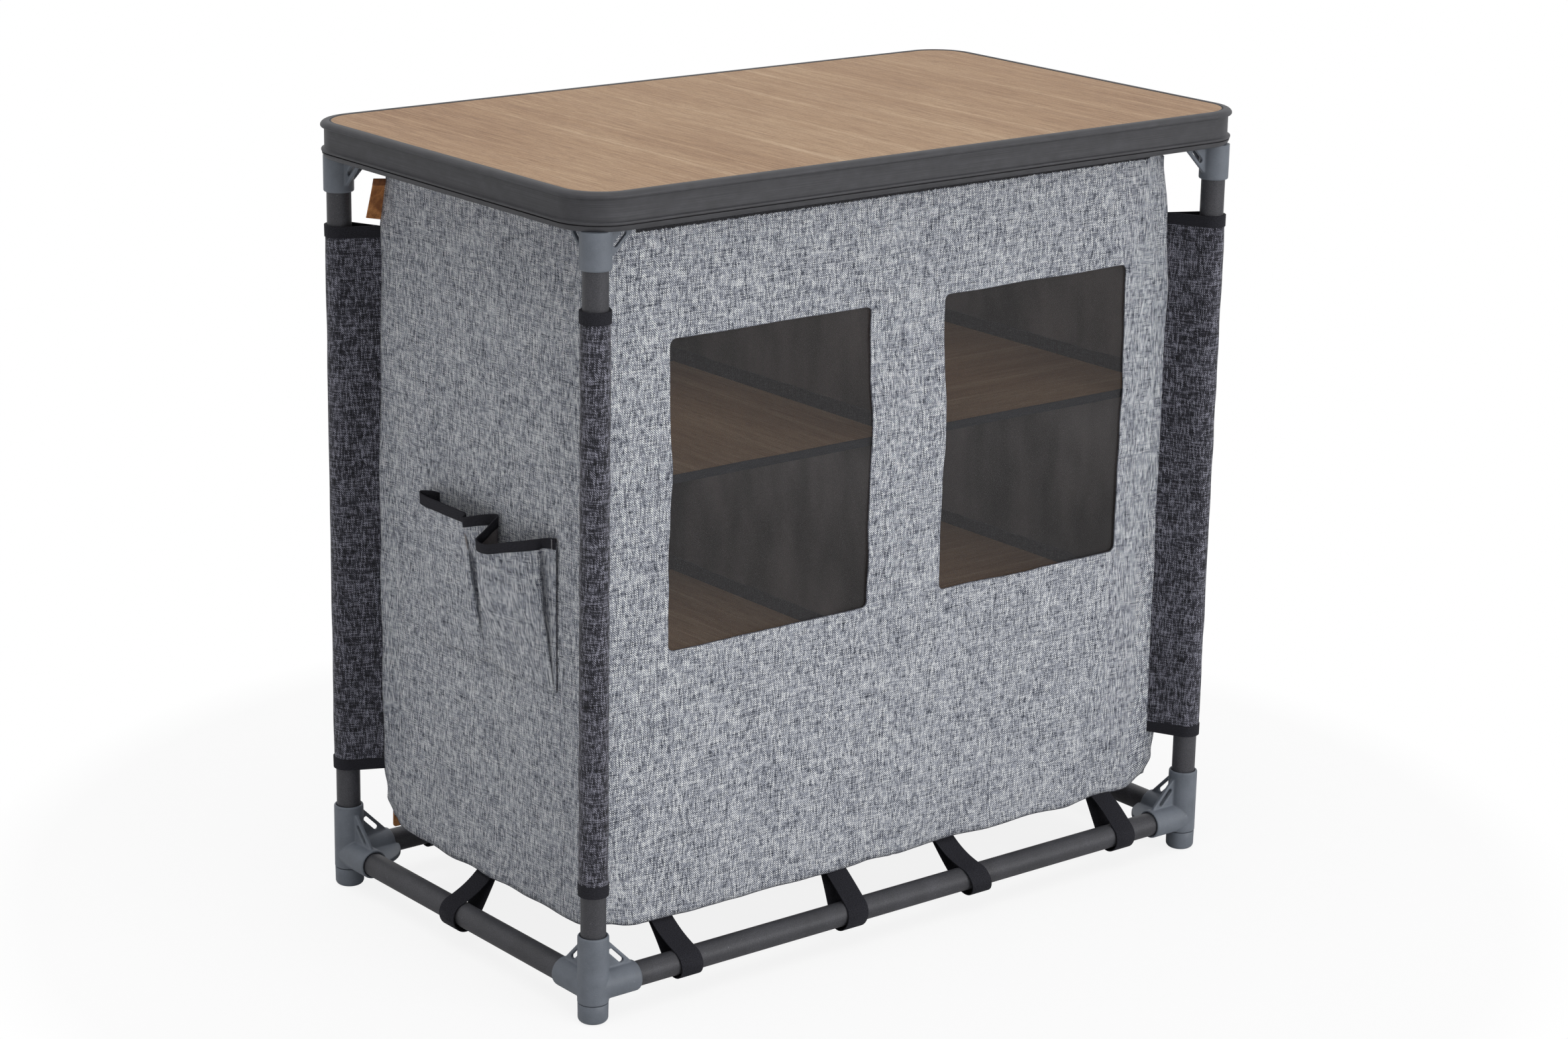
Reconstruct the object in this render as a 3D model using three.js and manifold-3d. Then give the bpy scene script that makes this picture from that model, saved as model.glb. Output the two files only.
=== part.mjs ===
// Camping kitchen cupboard: a plug-together tube frame under a framed wood-look top, with a cloth
// cabinet of two bays hung between the legs. Millimetres, Z up, origin on the floor below the
// middle. The rear, with the two mesh windows, is -Y; the front, with the two doors, is +Y.

import * as THREE from 'three';
import { mergeVertices } from 'three/addons/utils/BufferGeometryUtils.js';
import Module from 'manifold-3d';

// Whole cupboard
const topLength = 850;
const topDepth = 490;
const totalHeight = 820;
const seatGap = 0.3;
const cutOverrun = 10;

// Frame tubes
const tubeRadius = 12.5;
const tubeWall = 1.2;
const legInsetX = 28;
const legInsetY = 24;
const armRise = 0.2;

// Foot caps
const footHeight = 20;
const footRoundRadius = 5;
const footRoundShare = 0.3;
const spigotLength = 12;

// Moulded connectors
const socketWall = 2.7;
const socketChamfer = 1;
const socketHeight = 90;
const armLength = 49;
const collarDrop = 37;
const collarDepth = 34;
const gussetThickness = 4;
const gussetRun = 30;
const slotWidth = 5;
const slotLength = 19;
const slotEdge = 3.6;
const lobeRadius = 54;
const lobeThickness = 5;
const plateThickness = 4;
const plateReach = 52;

// Table top
const rimHeight = 37;
const rimCornerRadius = 50;
const beadHeight = 8.5;
const beadDepth = 3.5;
const beadEase = 0.9;
const rimFace = 10;
const lowerBeadHeight = 7.5;
const lipHeight = 5;
const grooveHeight = 1.4;
const rimWall = 4.5;
const ledgeReach = 21;
const ledgeThickness = 4;
const boardThickness = 9.8;
const boardRecess = 0.4;

// Cloth cabinet
const cornerGap = 29;
const cabinetTopGap = 7;
const hemHeight = 73;
const hemRise = 15;
const hemRiseReach = 55;
const clothThickness = 2;
const sleeveBottomGap = 42;
const sleeveTopGap = 38;
const topDraw = 2.6;
const bottomDraw = 8;
const drawReach = 30;
const foldDepth = 4;
const foldPitch = 122;
const rowShares = [0, 0.03, 0.055, 0.084, 0.2, 0.35, 0.5, 0.65, 0.8, 0.903, 0.95, 1];
const floorRise = 5;
const floorCornerRadius = 34;

// Rear windows
const windowSideMargin = 72;
const windowTopMargin = 116;
const windowBottom = 348;
const windowHalfGap = 51;
const windowCornerRadius = 7;
const meshThickness = 0.8;
const meshLap = 8;

// Front doors and zips
const sillHeight = 19;
const valanceHeight = 41;
const centreStripWidth = 28;
const frontStripWidth = 11;
const zipWidth = 12.6;
const tapeThickness = 1.4;
const tapeLap = 3;
const coilWidth = 5;
const coilHeight = 2.2;
const sliderWidth = 9;
const sliderHeight = 14;
const sliderThickness = 3.4;
const sliderNose = 5.6;
const shoulderShare = 0.55;
const notchShare = 0.85;
const lugWidth = 3.4;
const lugHeight = 5;
const lugDepth = 2.4;
const pullerWidth = 12;
const pullerLength = 30;
const pullerThickness = 2;

// Shelves
const lowerShelfHeight = 288;
const shelfSpacing = 235;
const boardShelfThickness = 6;
const trayThickness = 1.6;
const trayLipRise = 16;
const trayEndGap = 3;
const trimThickness = 4;
const floorBoardCornerRadius = 30;

// Corner sleeves, straps, pocket and tag
const sleeveClearance = 0.5;
const sleeveThickness = 1.6;
const bindingHeight = 12;
const bindingExtra = 0.8;
const strapWidth = 26;
const strapThickness = 1.5;
const strapClearance = 0.5;
const strapInset = 14;
const outerStrapGap = 97;
const innerStrapGap = 86;
const pocketLeft = 120;
const pocketSeam = -18;
const pocketRight = -120;
const pocketMouth = 452;
const pocketLength = 150;
const pocketBulge = 28;
const leftPouchShares = [[0, 0], [0.25, 0.3], [0.55, 0.62], [0.84, 0.86], [0.93, 0.7], [1, 0]];
const rightPouchShares = [[0.06, 0.8], [0.16, 1], [0.5, 0.86], [0.82, 0.62], [0.94, 0.5], [1, 0]];
const pocketThickness = 1.4;
const pocketBindingHeight = 12;
const pocketSag = 16;
const tagWidth = 26;
const tagHeight = 40;
const tagThickness = 2.4;
const tagGap = 10;
const stripHeight = 12;
const stripThickness = 1.5;
const stripInset = 38;

// Facets
const tubeSides = 20;
const cornerSteps = 7;
const sleeveSteps = 14;
const strapSteps = 10;
const windowCornerSteps = 3;
const floorCornerSteps = 4;
const pocketRows = 8;
const rearColumns = 22;
const sideColumns = 7;

const materials = {
  frame: { color: 0x4b4b4f, roughness: 0.45, metalness: 0.5 },
  tube: { color: 0x46474a, roughness: 0.4, metalness: 0.6 },
  moulding: { color: 0x606a73, roughness: 0.6, metalness: 0 },
  wood: { color: 0xb08f75, roughness: 0.5, metalness: 0 },
  lightCloth: { color: 0x9a9ca4, roughness: 0.95, metalness: 0 },
  darkCloth: { color: 0x45464c, roughness: 0.95, metalness: 0 },
  lining: { color: 0x38383b, roughness: 0.9, metalness: 0 },
  mesh: { color: 0x2b2a2a, roughness: 0.8, metalness: 0 },
  webbing: { color: 0x1c1c1f, roughness: 0.85, metalness: 0 },
  leather: { color: 0x96602f, roughness: 0.6, metalness: 0 },
  zip: { color: 0x232326, roughness: 0.5, metalness: 0.2 },
};

const cupboard = new THREE.Group();
cupboard.name = 'camping_kitchen_cupboard';

// Solid helpers
const wasm = await Module();
wasm.setup();

function toSolid(geometry) {
  const bare = geometry.clone();
  bare.deleteAttribute('normal');
  bare.deleteAttribute('uv');
  const merged = mergeVertices(bare);
  return new wasm.Manifold(new wasm.Mesh({
    numProp: 3,
    vertProperties: merged.attributes.position.array,
    triVerts: merged.index.array,
  }));
}

function toGeometry(solid) {
  const mesh = solid.getMesh();
  const geometry = new THREE.BufferGeometry();
  geometry.setAttribute('position', new THREE.BufferAttribute(mesh.vertProperties, 3));
  geometry.setIndex(new THREE.BufferAttribute(mesh.triVerts, 1));
  return geometry;
}

function addPiece(name, geometry, material) {
  const mesh = new THREE.Mesh(geometry, new THREE.MeshStandardMaterial(materials[material]));
  mesh.name = name;
  cupboard.add(mesh);
  return mesh;
}

// Revolves a [radius, height] outline that runs upwards from the axis and back to it.
function revolve(outline, sides = tubeSides) {
  const points = outline.map(([radius, height]) => new THREE.Vector2(radius, height));
  return new THREE.LatheGeometry(points, sides).rotateX(Math.PI / 2);
}

function prism(points, depth, holes = []) {
  const shape = new THREE.Shape(points);
  holes.forEach((hole) => shape.holes.push(new THREE.Path(hole)));
  return new THREE.ExtrudeGeometry(shape, { depth, bevelEnabled: false });
}

function block(low, high) {
  const size = high.map((value, axis) => value - low[axis]);
  const centre = high.map((value, axis) => (value + low[axis]) / 2);
  return new THREE.BoxGeometry(...size).translate(...centre);
}

// Corner points of a rounded rectangle, anticlockwise from the +X side.
function roundedOutline(halfX, halfY, radius, steps = cornerSteps) {
  const points = [];
  [[1, -1], [1, 1], [-1, 1], [-1, -1]].forEach(([signX, signY], corner) => {
    for (let step = 0; step <= steps; step += 1) {
      const angle = (corner - 1 + step / steps) * Math.PI / 2;
      points.push(new THREE.Vector2(
        signX * (halfX - radius) + radius * Math.cos(angle),
        signY * (halfY - radius) + radius * Math.sin(angle),
      ));
    }
  });
  return points;
}

// A drop outline: an arc about the origin and the two straight sides that meet at [reach, 0].
function drop(radius, reach, steps) {
  const tangent = Math.acos(radius / reach);
  const points = [new THREE.Vector2(reach, 0)];
  for (let step = 0; step <= steps; step += 1) {
    const angle = tangent + (2 * Math.PI - 2 * tangent) * step / steps;
    points.push(new THREE.Vector2(radius * Math.cos(angle), radius * Math.sin(angle)));
  }
  return points;
}

function ease(share) {
  const held = Math.min(Math.max(share, 0), 1);
  return held * held * (3 - 2 * held);
}

function signedVolume(positions, index) {
  let total = 0;
  for (let corner = 0; corner < index.length; corner += 3) {
    const [a, b, c] = [0, 1, 2].map((step) => positions[index[corner + step]]);
    total += a.dot(b.clone().cross(c));
  }
  return total;
}

function closedGeometry(positions, index) {
  const outward = signedVolume(positions, index) < 0 ? index.slice().reverse() : index;
  const geometry = new THREE.BufferGeometry();
  geometry.setFromPoints(positions);
  geometry.setIndex(outward);
  return geometry;
}

// A thin sheet closed round its edges. surface(u, v, side) gives a point; side 0 is the outer face.
function sheet(columnShares, rowShares, surface) {
  const columns = columnShares.length;
  const rows = rowShares.length;
  const positions = [];
  [0, 1].forEach((side) => rowShares.forEach((v) => {
    columnShares.forEach((u) => positions.push(surface(u, v, side)));
  }));
  const at = (column, row, side) => side * columns * rows + row * columns + column;
  const index = [];
  const quad = (a, b, c, d) => index.push(a, b, c, a, c, d);
  for (let row = 0; row < rows - 1; row += 1) {
    for (let column = 0; column < columns - 1; column += 1) {
      const right = column + 1;
      const upper = row + 1;
      quad(at(column, row, 0), at(right, row, 0), at(right, upper, 0), at(column, upper, 0));
      quad(at(column, upper, 1), at(right, upper, 1), at(right, row, 1), at(column, row, 1));
    }
  }
  for (let column = 0; column < columns - 1; column += 1) {
    const right = column + 1;
    const last = rows - 1;
    quad(at(right, 0, 0), at(column, 0, 0), at(column, 0, 1), at(right, 0, 1));
    quad(at(column, last, 0), at(right, last, 0), at(right, last, 1), at(column, last, 1));
  }
  for (let row = 0; row < rows - 1; row += 1) {
    const upper = row + 1;
    const last = columns - 1;
    quad(at(0, row, 0), at(0, upper, 0), at(0, upper, 1), at(0, row, 1));
    quad(at(last, upper, 0), at(last, row, 0), at(last, row, 1), at(last, upper, 1));
  }
  return closedGeometry(positions, index);
}

function evenShares(count) {
  return Array.from({ length: count + 1 }, (_, step) => step / count);
}

function lerp(from, to, share) {
  return from + (to - from) * share;
}

// The two ends of a span that lies at inner to outer on one side of the middle, lower end first.
function signedSpan(sign, inner, outer) {
  return sign > 0 ? [inner, outer] : [-outer, -inner];
}

// Places that several pieces share
const socketRadius = tubeRadius + seatGap + socketWall;
const boreRadius = tubeRadius + seatGap;
const crossTubeHeight = footHeight + seatGap + socketRadius + armRise;
const legX = topLength / 2 - legInsetX;
const legY = topDepth / 2 - legInsetY;
const rimBottom = totalHeight - rimHeight;
const boardTop = totalHeight - boardRecess;
const ledgeTop = boardTop - boardThickness - seatGap;
const ledgeBottom = ledgeTop - ledgeThickness;
const plateTop = ledgeBottom - seatGap;
const plateBottom = plateTop - plateThickness;
const collarBottom = rimBottom - collarDrop;
const legTop = collarBottom + collarDepth;
const halfLength = legX - cornerGap;
const halfDepth = legY - cornerGap;
const cabinetLength = 2 * halfLength;
const cabinetTop = rimBottom - cabinetTopGap;
const sleeveBottom = socketHeight + sleeveBottomGap;
const sleeveTop = collarBottom - sleeveTopGap;
const floorHeight = hemHeight + floorRise;
const corners = [
  { name: 'rear_left', signX: -1, signY: -1, turn: 0 },
  { name: 'rear_right', signX: 1, signY: -1, turn: Math.PI / 2 },
  { name: 'front_right', signX: 1, signY: 1, turn: Math.PI },
  { name: 'front_left', signX: -1, signY: 1, turn: -Math.PI / 2 },
];
const sides = [{ name: 'left', sign: -1 }, { name: 'right', sign: 1 }];

function tubeOutline(start, end) {
  const inner = tubeRadius - tubeWall;
  return [[inner, start], [tubeRadius, start], [tubeRadius, end], [inner, end], [inner, start]];
}

function socketOutline(start, end) {
  const eased = socketRadius - socketChamfer;
  return [
    [0, start], [eased, start], [socketRadius, start + socketChamfer],
    [socketRadius, end - socketChamfer], [eased, end], [0, end],
  ];
}

// Gusset in the XZ plane: a triangle against the socket with a slot along its sloping edge.
function gusset(cornerHeight, direction) {
  const rootX = socketRadius - socketWall / 2;
  const run = gussetRun;
  const tipX = socketRadius + run;
  const slopeHeight = cornerHeight + direction * run;
  const backHeight = cornerHeight - direction * socketWall;
  const outline = [
    [0, backHeight], [tipX, backHeight], [tipX, cornerHeight],
    [socketRadius, slopeHeight], [rootX, slopeHeight], [0, slopeHeight],
  ].map(([x, z]) => new THREE.Vector2(x, z));
  const plate = prism(outline, gussetThickness)
    .translate(0, 0, -gussetThickness / 2)
    .rotateX(Math.PI / 2);
  const inset = (slotEdge + slotWidth / 2) / Math.SQRT2;
  const slotX = socketRadius + run / 2 - inset;
  const slotZ = cornerHeight + direction * (run / 2 - inset);
  const half = (slotLength - slotWidth) / 2;
  const slot = [];
  for (let step = 0; step <= cornerSteps; step += 1) {
    const angle = Math.PI * step / cornerSteps - Math.PI / 2;
    slot.push(new THREE.Vector2(
      half + slotWidth / 2 * Math.cos(angle),
      slotWidth / 2 * Math.sin(angle),
    ));
  }
  slot.push(...slot.map((point) => point.clone().negate()));
  const cutter = prism(slot, gussetThickness + 2 * cutOverrun)
    .translate(0, 0, -gussetThickness / 2 - cutOverrun)
    .rotateZ(-direction * Math.PI / 4)
    .rotateX(Math.PI / 2)
    .translate(slotX, 0, slotZ);
  return { plate, cutter };
}

function gussetPair(cornerHeight, direction) {
  return [0, Math.PI / 2].map((turn) => {
    const { plate, cutter } = gusset(cornerHeight, direction);
    return { plate: toSolid(plate.rotateZ(turn)), cutter: toSolid(cutter.rotateZ(turn)) };
  });
}

// Legs: round tubes that stand in the lower connectors and plug into the table top
const legGeometry = revolve(tubeOutline(footHeight + seatGap, legTop - seatGap));
corners.forEach(({ name, signX, signY }) => {
  const leg = addPiece(`leg_tube_${name}`, legGeometry, 'tube');
  leg.position.set(signX * legX, signY * legY, 0);
});

// Cross tubes: two long and two short ones just above the floor
const crossTubeEnd = socketRadius + seatGap * 2;
[['rear', -1], ['front', 1]].forEach(([name, sign]) => {
  const half = legX - crossTubeEnd;
  const tube = addPiece(`cross_tube_${name}`, revolve(tubeOutline(-half, half)), 'tube');
  tube.rotation.y = Math.PI / 2;
  tube.position.set(0, sign * legY, crossTubeHeight);
});
sides.forEach(({ name, sign }) => {
  const half = legY - crossTubeEnd;
  const tube = addPiece(`cross_tube_${name}`, revolve(tubeOutline(-half, half)), 'tube');
  tube.rotation.x = Math.PI / 2;
  tube.position.set(sign * legX, 0, crossTubeHeight);
});

// Lower connectors: one moulding with an upright socket, two level arms, slotted gussets and a lobe
const lowerConnector = (() => {
  const upright = toSolid(revolve(socketOutline(footHeight + seatGap, socketHeight)));
  const armOutline = socketOutline(0, armLength);
  const armX = toSolid(revolve(armOutline).rotateY(Math.PI / 2).translate(0, 0, crossTubeHeight));
  const armY = toSolid(revolve(armOutline).rotateX(-Math.PI / 2).translate(0, 0, crossTubeHeight));
  const gussets = gussetPair(crossTubeHeight + socketRadius, 1);
  const lobe = [new THREE.Vector2(0, 0)];
  for (let step = 0; step <= cornerSteps; step += 1) {
    const angle = Math.PI / 2 * step / cornerSteps;
    lobe.push(new THREE.Vector2(lobeRadius * Math.cos(angle), lobeRadius * Math.sin(angle)));
  }
  const lobePlate = toSolid(
    prism(lobe, lobeThickness).translate(0, 0, crossTubeHeight - lobeThickness / 2),
  );
  const boreEnd = crossTubeEnd - seatGap;
  const cut = [[0, boreEnd], [boreRadius, boreEnd], [boreRadius, armLength + cutOverrun]];
  const boreOutline = [...cut, [0, armLength + cutOverrun]];
  const boreX = toSolid(revolve(boreOutline).rotateY(Math.PI / 2).translate(0, 0, crossTubeHeight));
  const boreY = toSolid(revolve(boreOutline).rotateX(-Math.PI / 2).translate(0, 0, crossTubeHeight));
  const legBore = toSolid(revolve([
    [0, 0], [boreRadius, 0], [boreRadius, socketHeight + cutOverrun], [0, socketHeight + cutOverrun],
  ]));
  let solid = upright.add(armX).add(armY).add(lobePlate);
  gussets.forEach(({ plate }) => {
    solid = solid.add(plate);
  });
  gussets.forEach(({ cutter }) => {
    solid = solid.subtract(cutter);
  });
  return toGeometry(solid.subtract(boreX).subtract(boreY).subtract(legBore));
})();
corners.forEach(({ name, signX, signY, turn }) => {
  const connector = addPiece(`lower_connector_${name}`, lowerConnector, 'moulding');
  connector.rotation.z = turn;
  connector.position.set(signX * legX, signY * legY, 0);
});

// Foot caps: pressed into the leg ends below the connectors
const footRadius = socketRadius - socketChamfer / 2;
const spigotRadius = tubeRadius - tubeWall - seatGap;
const spigotTop = footHeight + spigotLength;
const footEase = footRoundRadius * footRoundShare;
const footGeometry = revolve([
  [0, 0], [footRadius - footRoundRadius, 0], [footRadius - footEase, footEase],
  [footRadius, footRoundRadius], [footRadius, footHeight], [spigotRadius, footHeight],
  [spigotRadius, spigotTop], [0, spigotTop],
]);
corners.forEach(({ name, signX, signY }) => {
  const foot = addPiece(`foot_cap_${name}`, footGeometry, 'moulding');
  foot.position.set(signX * legX, signY * legY, 0);
});

// Table top rim: one extruded aluminium section bent round the board, with a bead, a flat, a
// second bead, a groove and a lip, and a ledge inside that carries the board
const insetOutline = (inset, steps = cornerSteps) => roundedOutline(
  topLength / 2 - inset, topDepth / 2 - inset, rimCornerRadius - inset, steps,
);
const grooveTop = rimBottom + lipHeight + grooveHeight;
const lowerBeadTop = grooveTop + lowerBeadHeight;
const rimSection = [
  [beadDepth, totalHeight],
  [beadEase, totalHeight - beadEase],
  [0, totalHeight - beadHeight / 2],
  [beadEase, totalHeight - beadHeight + beadEase],
  [beadDepth, totalHeight - beadHeight],
  [beadDepth, lowerBeadTop],
  [beadEase, lowerBeadTop - beadEase],
  [beadEase / 2, (lowerBeadTop + grooveTop) / 2],
  [beadEase, grooveTop],
  [beadDepth, grooveTop],
  [beadDepth, grooveTop - grooveHeight],
  [beadEase, grooveTop - grooveHeight],
  [beadEase, rimBottom],
  [rimWall, rimBottom],
  [rimWall, ledgeBottom],
  [ledgeReach, ledgeBottom],
  [ledgeReach, ledgeTop],
  [rimFace - seatGap, ledgeTop],
  [rimFace - seatGap, totalHeight],
];
const rimRings = rimSection.map(([inset, height]) => insetOutline(inset)
  .map((point) => new THREE.Vector3(point.x, point.y, height)));
const rimIndex = [];
rimRings.forEach((ring, level) => {
  const nextLevel = (level + 1) % rimRings.length;
  ring.forEach((_, place) => {
    const nextPlace = (place + 1) % ring.length;
    const [a, b] = [level * ring.length + place, level * ring.length + nextPlace];
    const [c, d] = [nextLevel * ring.length + nextPlace, nextLevel * ring.length + place];
    rimIndex.push(a, b, c, a, c, d);
  });
});
addPiece('table_rim', closedGeometry(rimRings.flat(), rimIndex), 'frame');
addPiece(
  'table_board',
  prism(insetOutline(rimFace), boardThickness).translate(0, 0, boardTop - boardThickness),
  'wood',
);

// Upper connectors: screwed under the ledge inside the rim; the legs plug into their collars
const rimInside = toSolid(
  prism(insetOutline(rimWall + seatGap), rimHeight).translate(0, 0, rimBottom - seatGap),
);
const belowRim = toSolid(block(
  [-topLength, -topDepth, 0], [topLength, topDepth, rimBottom - seatGap],
));
const connectorSpace = rimInside.add(belowRim);
const collar = toSolid(revolve(socketOutline(collarBottom, plateTop + socketChamfer)));
const collarBore = toSolid(revolve([
  [0, collarBottom - cutOverrun], [boreRadius, collarBottom - cutOverrun],
  [boreRadius, legTop], [0, legTop],
]));
const plateOutside = socketRadius + legInsetX;
const plate = toSolid(block(
  [-plateOutside, -plateOutside, plateBottom], [plateReach, plateReach, plateTop],
));
const plateTopTrim = toSolid(block(
  [-topLength, -topDepth, plateTop], [topLength, topDepth, totalHeight],
));
const upperGussets = gussetPair(rimBottom, -1);
const gussetRoot = [0, Math.PI / 2].map((turn) => toSolid(block(
  [0, -gussetThickness / 2, rimBottom],
  [socketRadius + gussetRun, gussetThickness / 2, plateBottom + plateThickness / 2],
).rotateZ(turn)));
corners.forEach(({ name, signX, signY, turn }) => {
  let solid = collar.add(plate).subtract(plateTopTrim);
  upperGussets.forEach((pair, place) => {
    solid = solid.add(pair.plate).add(gussetRoot[place]).subtract(pair.cutter);
  });
  solid = solid.subtract(collarBore).rotate([0, 0, THREE.MathUtils.radToDeg(turn)]);
  solid = solid.translate([signX * legX, signY * legY, 0]).intersect(connectorSpace);
  addPiece(`upper_connector_${name}`, toGeometry(solid), 'moulding');
});

// Cloth cabinet: walls that share one drawn-in shape at the corners, above and below the sleeves
function cornerDraw(height) {
  const above = (height - sleeveTop) / (cabinetTop - sleeveTop);
  const below = (sleeveBottom - height) / (sleeveBottom - hemHeight);
  return topDraw * ease(above) + bottomDraw * ease(below);
}

// Moves a point of the cloth inwards, diagonally, near an upright edge of the cabinet.
function drawn(x, y, z, reachX = drawReach) {
  const shareX = ease((Math.abs(x) - halfLength + reachX) / reachX);
  const shareY = ease((Math.abs(y) - halfDepth + drawReach) / drawReach);
  const draw = cornerDraw(z) * shareX * shareY;
  return new THREE.Vector3(x - Math.sign(x) * draw, y - Math.sign(y) * draw, z);
}

function hemAt(fromCorner) {
  return hemHeight + hemRise * (1 - ease(fromCorner / hemRiseReach));
}

// Column shares of a wall: close together where the corners are drawn in, even between them.
function edgeShares(length, count) {
  const inner = drawReach / length;
  const near = [0, inner / 2, inner];
  const middle = evenShares(count).slice(1, -1).map((share) => lerp(inner, 1 - inner, share));
  return [...near, ...middle, ...near.map((share) => 1 - share).reverse()];
}

// Rear wall: hangs in soft folds below the windows, flat round them
function rearFold(x, z) {
  const belowWindows = ease((windowBottom - z) / (windowBottom - hemHeight));
  const insideCorners = ease((halfLength - Math.abs(x)) / foldPitch);
  const wave = (1 + Math.cos(2 * Math.PI * x / foldPitch)) / 2;
  return foldDepth * belowWindows * insideCorners * wave;
}

const rearShares = edgeShares(cabinetLength, rearColumns);
const rearSheet = toSolid(sheet(rearShares, rowShares, (u, v, side) => {
  const x = lerp(-halfLength, halfLength, u);
  const z = lerp(hemAt(halfLength - Math.abs(x)), cabinetTop, v);
  const y = -halfDepth + side * clothThickness - rearFold(x, z);
  return drawn(x, y, z);
}));
const windowWidth = halfLength - windowHalfGap - windowSideMargin;
const windowHeight = cabinetTop - windowTopMargin - windowBottom;
const windowCentre = windowHalfGap + windowWidth / 2;
const windowMiddle = windowBottom + windowHeight / 2;
let rearWall = rearSheet;
sides.forEach(({ name, sign }) => {
  const opening = prism(
    roundedOutline(windowWidth / 2, windowHeight / 2, windowCornerRadius, windowCornerSteps),
    2 * cutOverrun,
  );
  opening.translate(0, 0, -cutOverrun).rotateX(Math.PI / 2);
  opening.translate(sign * windowCentre, -halfDepth, windowMiddle);
  rearWall = rearWall.subtract(toSolid(opening));
  const meshBack = -halfDepth + clothThickness + seatGap + meshThickness;
  const pane = prism(roundedOutline(
    windowWidth / 2 + meshLap, windowHeight / 2 + meshLap, windowCornerRadius, windowCornerSteps,
  ), meshThickness);
  pane.rotateX(Math.PI / 2).translate(sign * windowCentre, meshBack, windowMiddle);
  addPiece(`window_mesh_${name}`, pane, 'mesh');
});
addPiece('rear_wall', toGeometry(rearWall), 'lightCloth');

// Side walls: tucked between the rear wall and the front frame
const sideHalf = halfDepth - clothThickness - seatGap;
const sideShares = edgeShares(2 * sideHalf, sideColumns);
sides.forEach(({ name, sign }) => {
  const wall = sheet(sideShares, rowShares, (u, v, side) => {
    const y = lerp(-sideHalf, sideHalf, u);
    const z = lerp(hemAt(sideHalf - Math.abs(y)), cabinetTop, v);
    return drawn(sign * (halfLength - side * clothThickness), y, z);
  });
  addPiece(`side_wall_${name}`, wall, 'lightCloth');
});

// Front frame: the valance, edge strips, centre strip and sill round the two door openings
const doorBottom = hemHeight + sillHeight;
const doorTop = cabinetTop - valanceHeight;
const doorOuter = halfLength - frontStripWidth;
const doorInner = centreStripWidth / 2;
const frontShares = [
  0, frontStripWidth / 2 / cabinetLength, frontStripWidth / cabinetLength,
  hemRiseReach / 2 / cabinetLength, hemRiseReach / cabinetLength, 0.3, 0.5, 0.7,
  1 - hemRiseReach / cabinetLength, 1 - hemRiseReach / 2 / cabinetLength,
  1 - frontStripWidth / cabinetLength, 1 - frontStripWidth / 2 / cabinetLength, 1,
];
let frontFrame = toSolid(sheet(frontShares, rowShares, (u, v, side) => {
  const x = lerp(-halfLength, halfLength, u);
  const z = lerp(hemAt(halfLength - Math.abs(x)), cabinetTop, v);
  return drawn(x, halfDepth - side * clothThickness, z, frontStripWidth);
}));
sides.forEach(({ sign }) => {
  const [low, high] = signedSpan(sign, doorInner, doorOuter);
  frontFrame = frontFrame.subtract(toSolid(block(
    [low, halfDepth - clothThickness - cutOverrun, doorBottom],
    [high, halfDepth + cutOverrun, doorTop],
  )));
});
const zipBottom = doorBottom + seatGap;
const zipTop = doorTop - seatGap;
const zipPlaces = [
  { name: 'left_outer', x: -(doorOuter - zipWidth / 2), seam: -1 },
  { name: 'left_inner', x: -(doorInner + zipWidth / 2), seam: 1 },
  { name: 'right_inner', x: doorInner + zipWidth / 2, seam: -1 },
  { name: 'right_outer', x: doorOuter - zipWidth / 2, seam: 1 },
];
const tapeBack = halfDepth - clothThickness + seatGap;
const tapeFree = zipWidth / 2 - seatGap;
const tapeSewn = zipWidth / 2 + tapeLap;
zipPlaces.forEach(({ x, seam }) => {
  const chain = prism([
    [-tapeFree, 0], [tapeSewn, 0], [tapeSewn, tapeThickness], [coilWidth / 2, tapeThickness],
    [coilWidth / 4, coilHeight], [-coilWidth / 4, coilHeight], [-coilWidth / 2, tapeThickness],
    [-tapeFree, tapeThickness],
  ].map(([across, out]) => new THREE.Vector2(seam * across, out)), doorTop - doorBottom);
  chain.translate(x, tapeBack, doorBottom);
  frontFrame = frontFrame.add(toSolid(chain));
});
addPiece('front_frame', toGeometry(frontFrame), 'lightCloth');

// Doors: one cloth flap to each bay, joined along its top and closed by a zip down each side
sides.forEach(({ name, sign }) => {
  const [low, high] = signedSpan(sign, doorInner + zipWidth, doorOuter - zipWidth);
  addPiece(`door_${name}`, block(
    [low, halfDepth - clothThickness, zipBottom], [high, halfDepth, zipTop],
  ), 'lightCloth');
});

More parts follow.
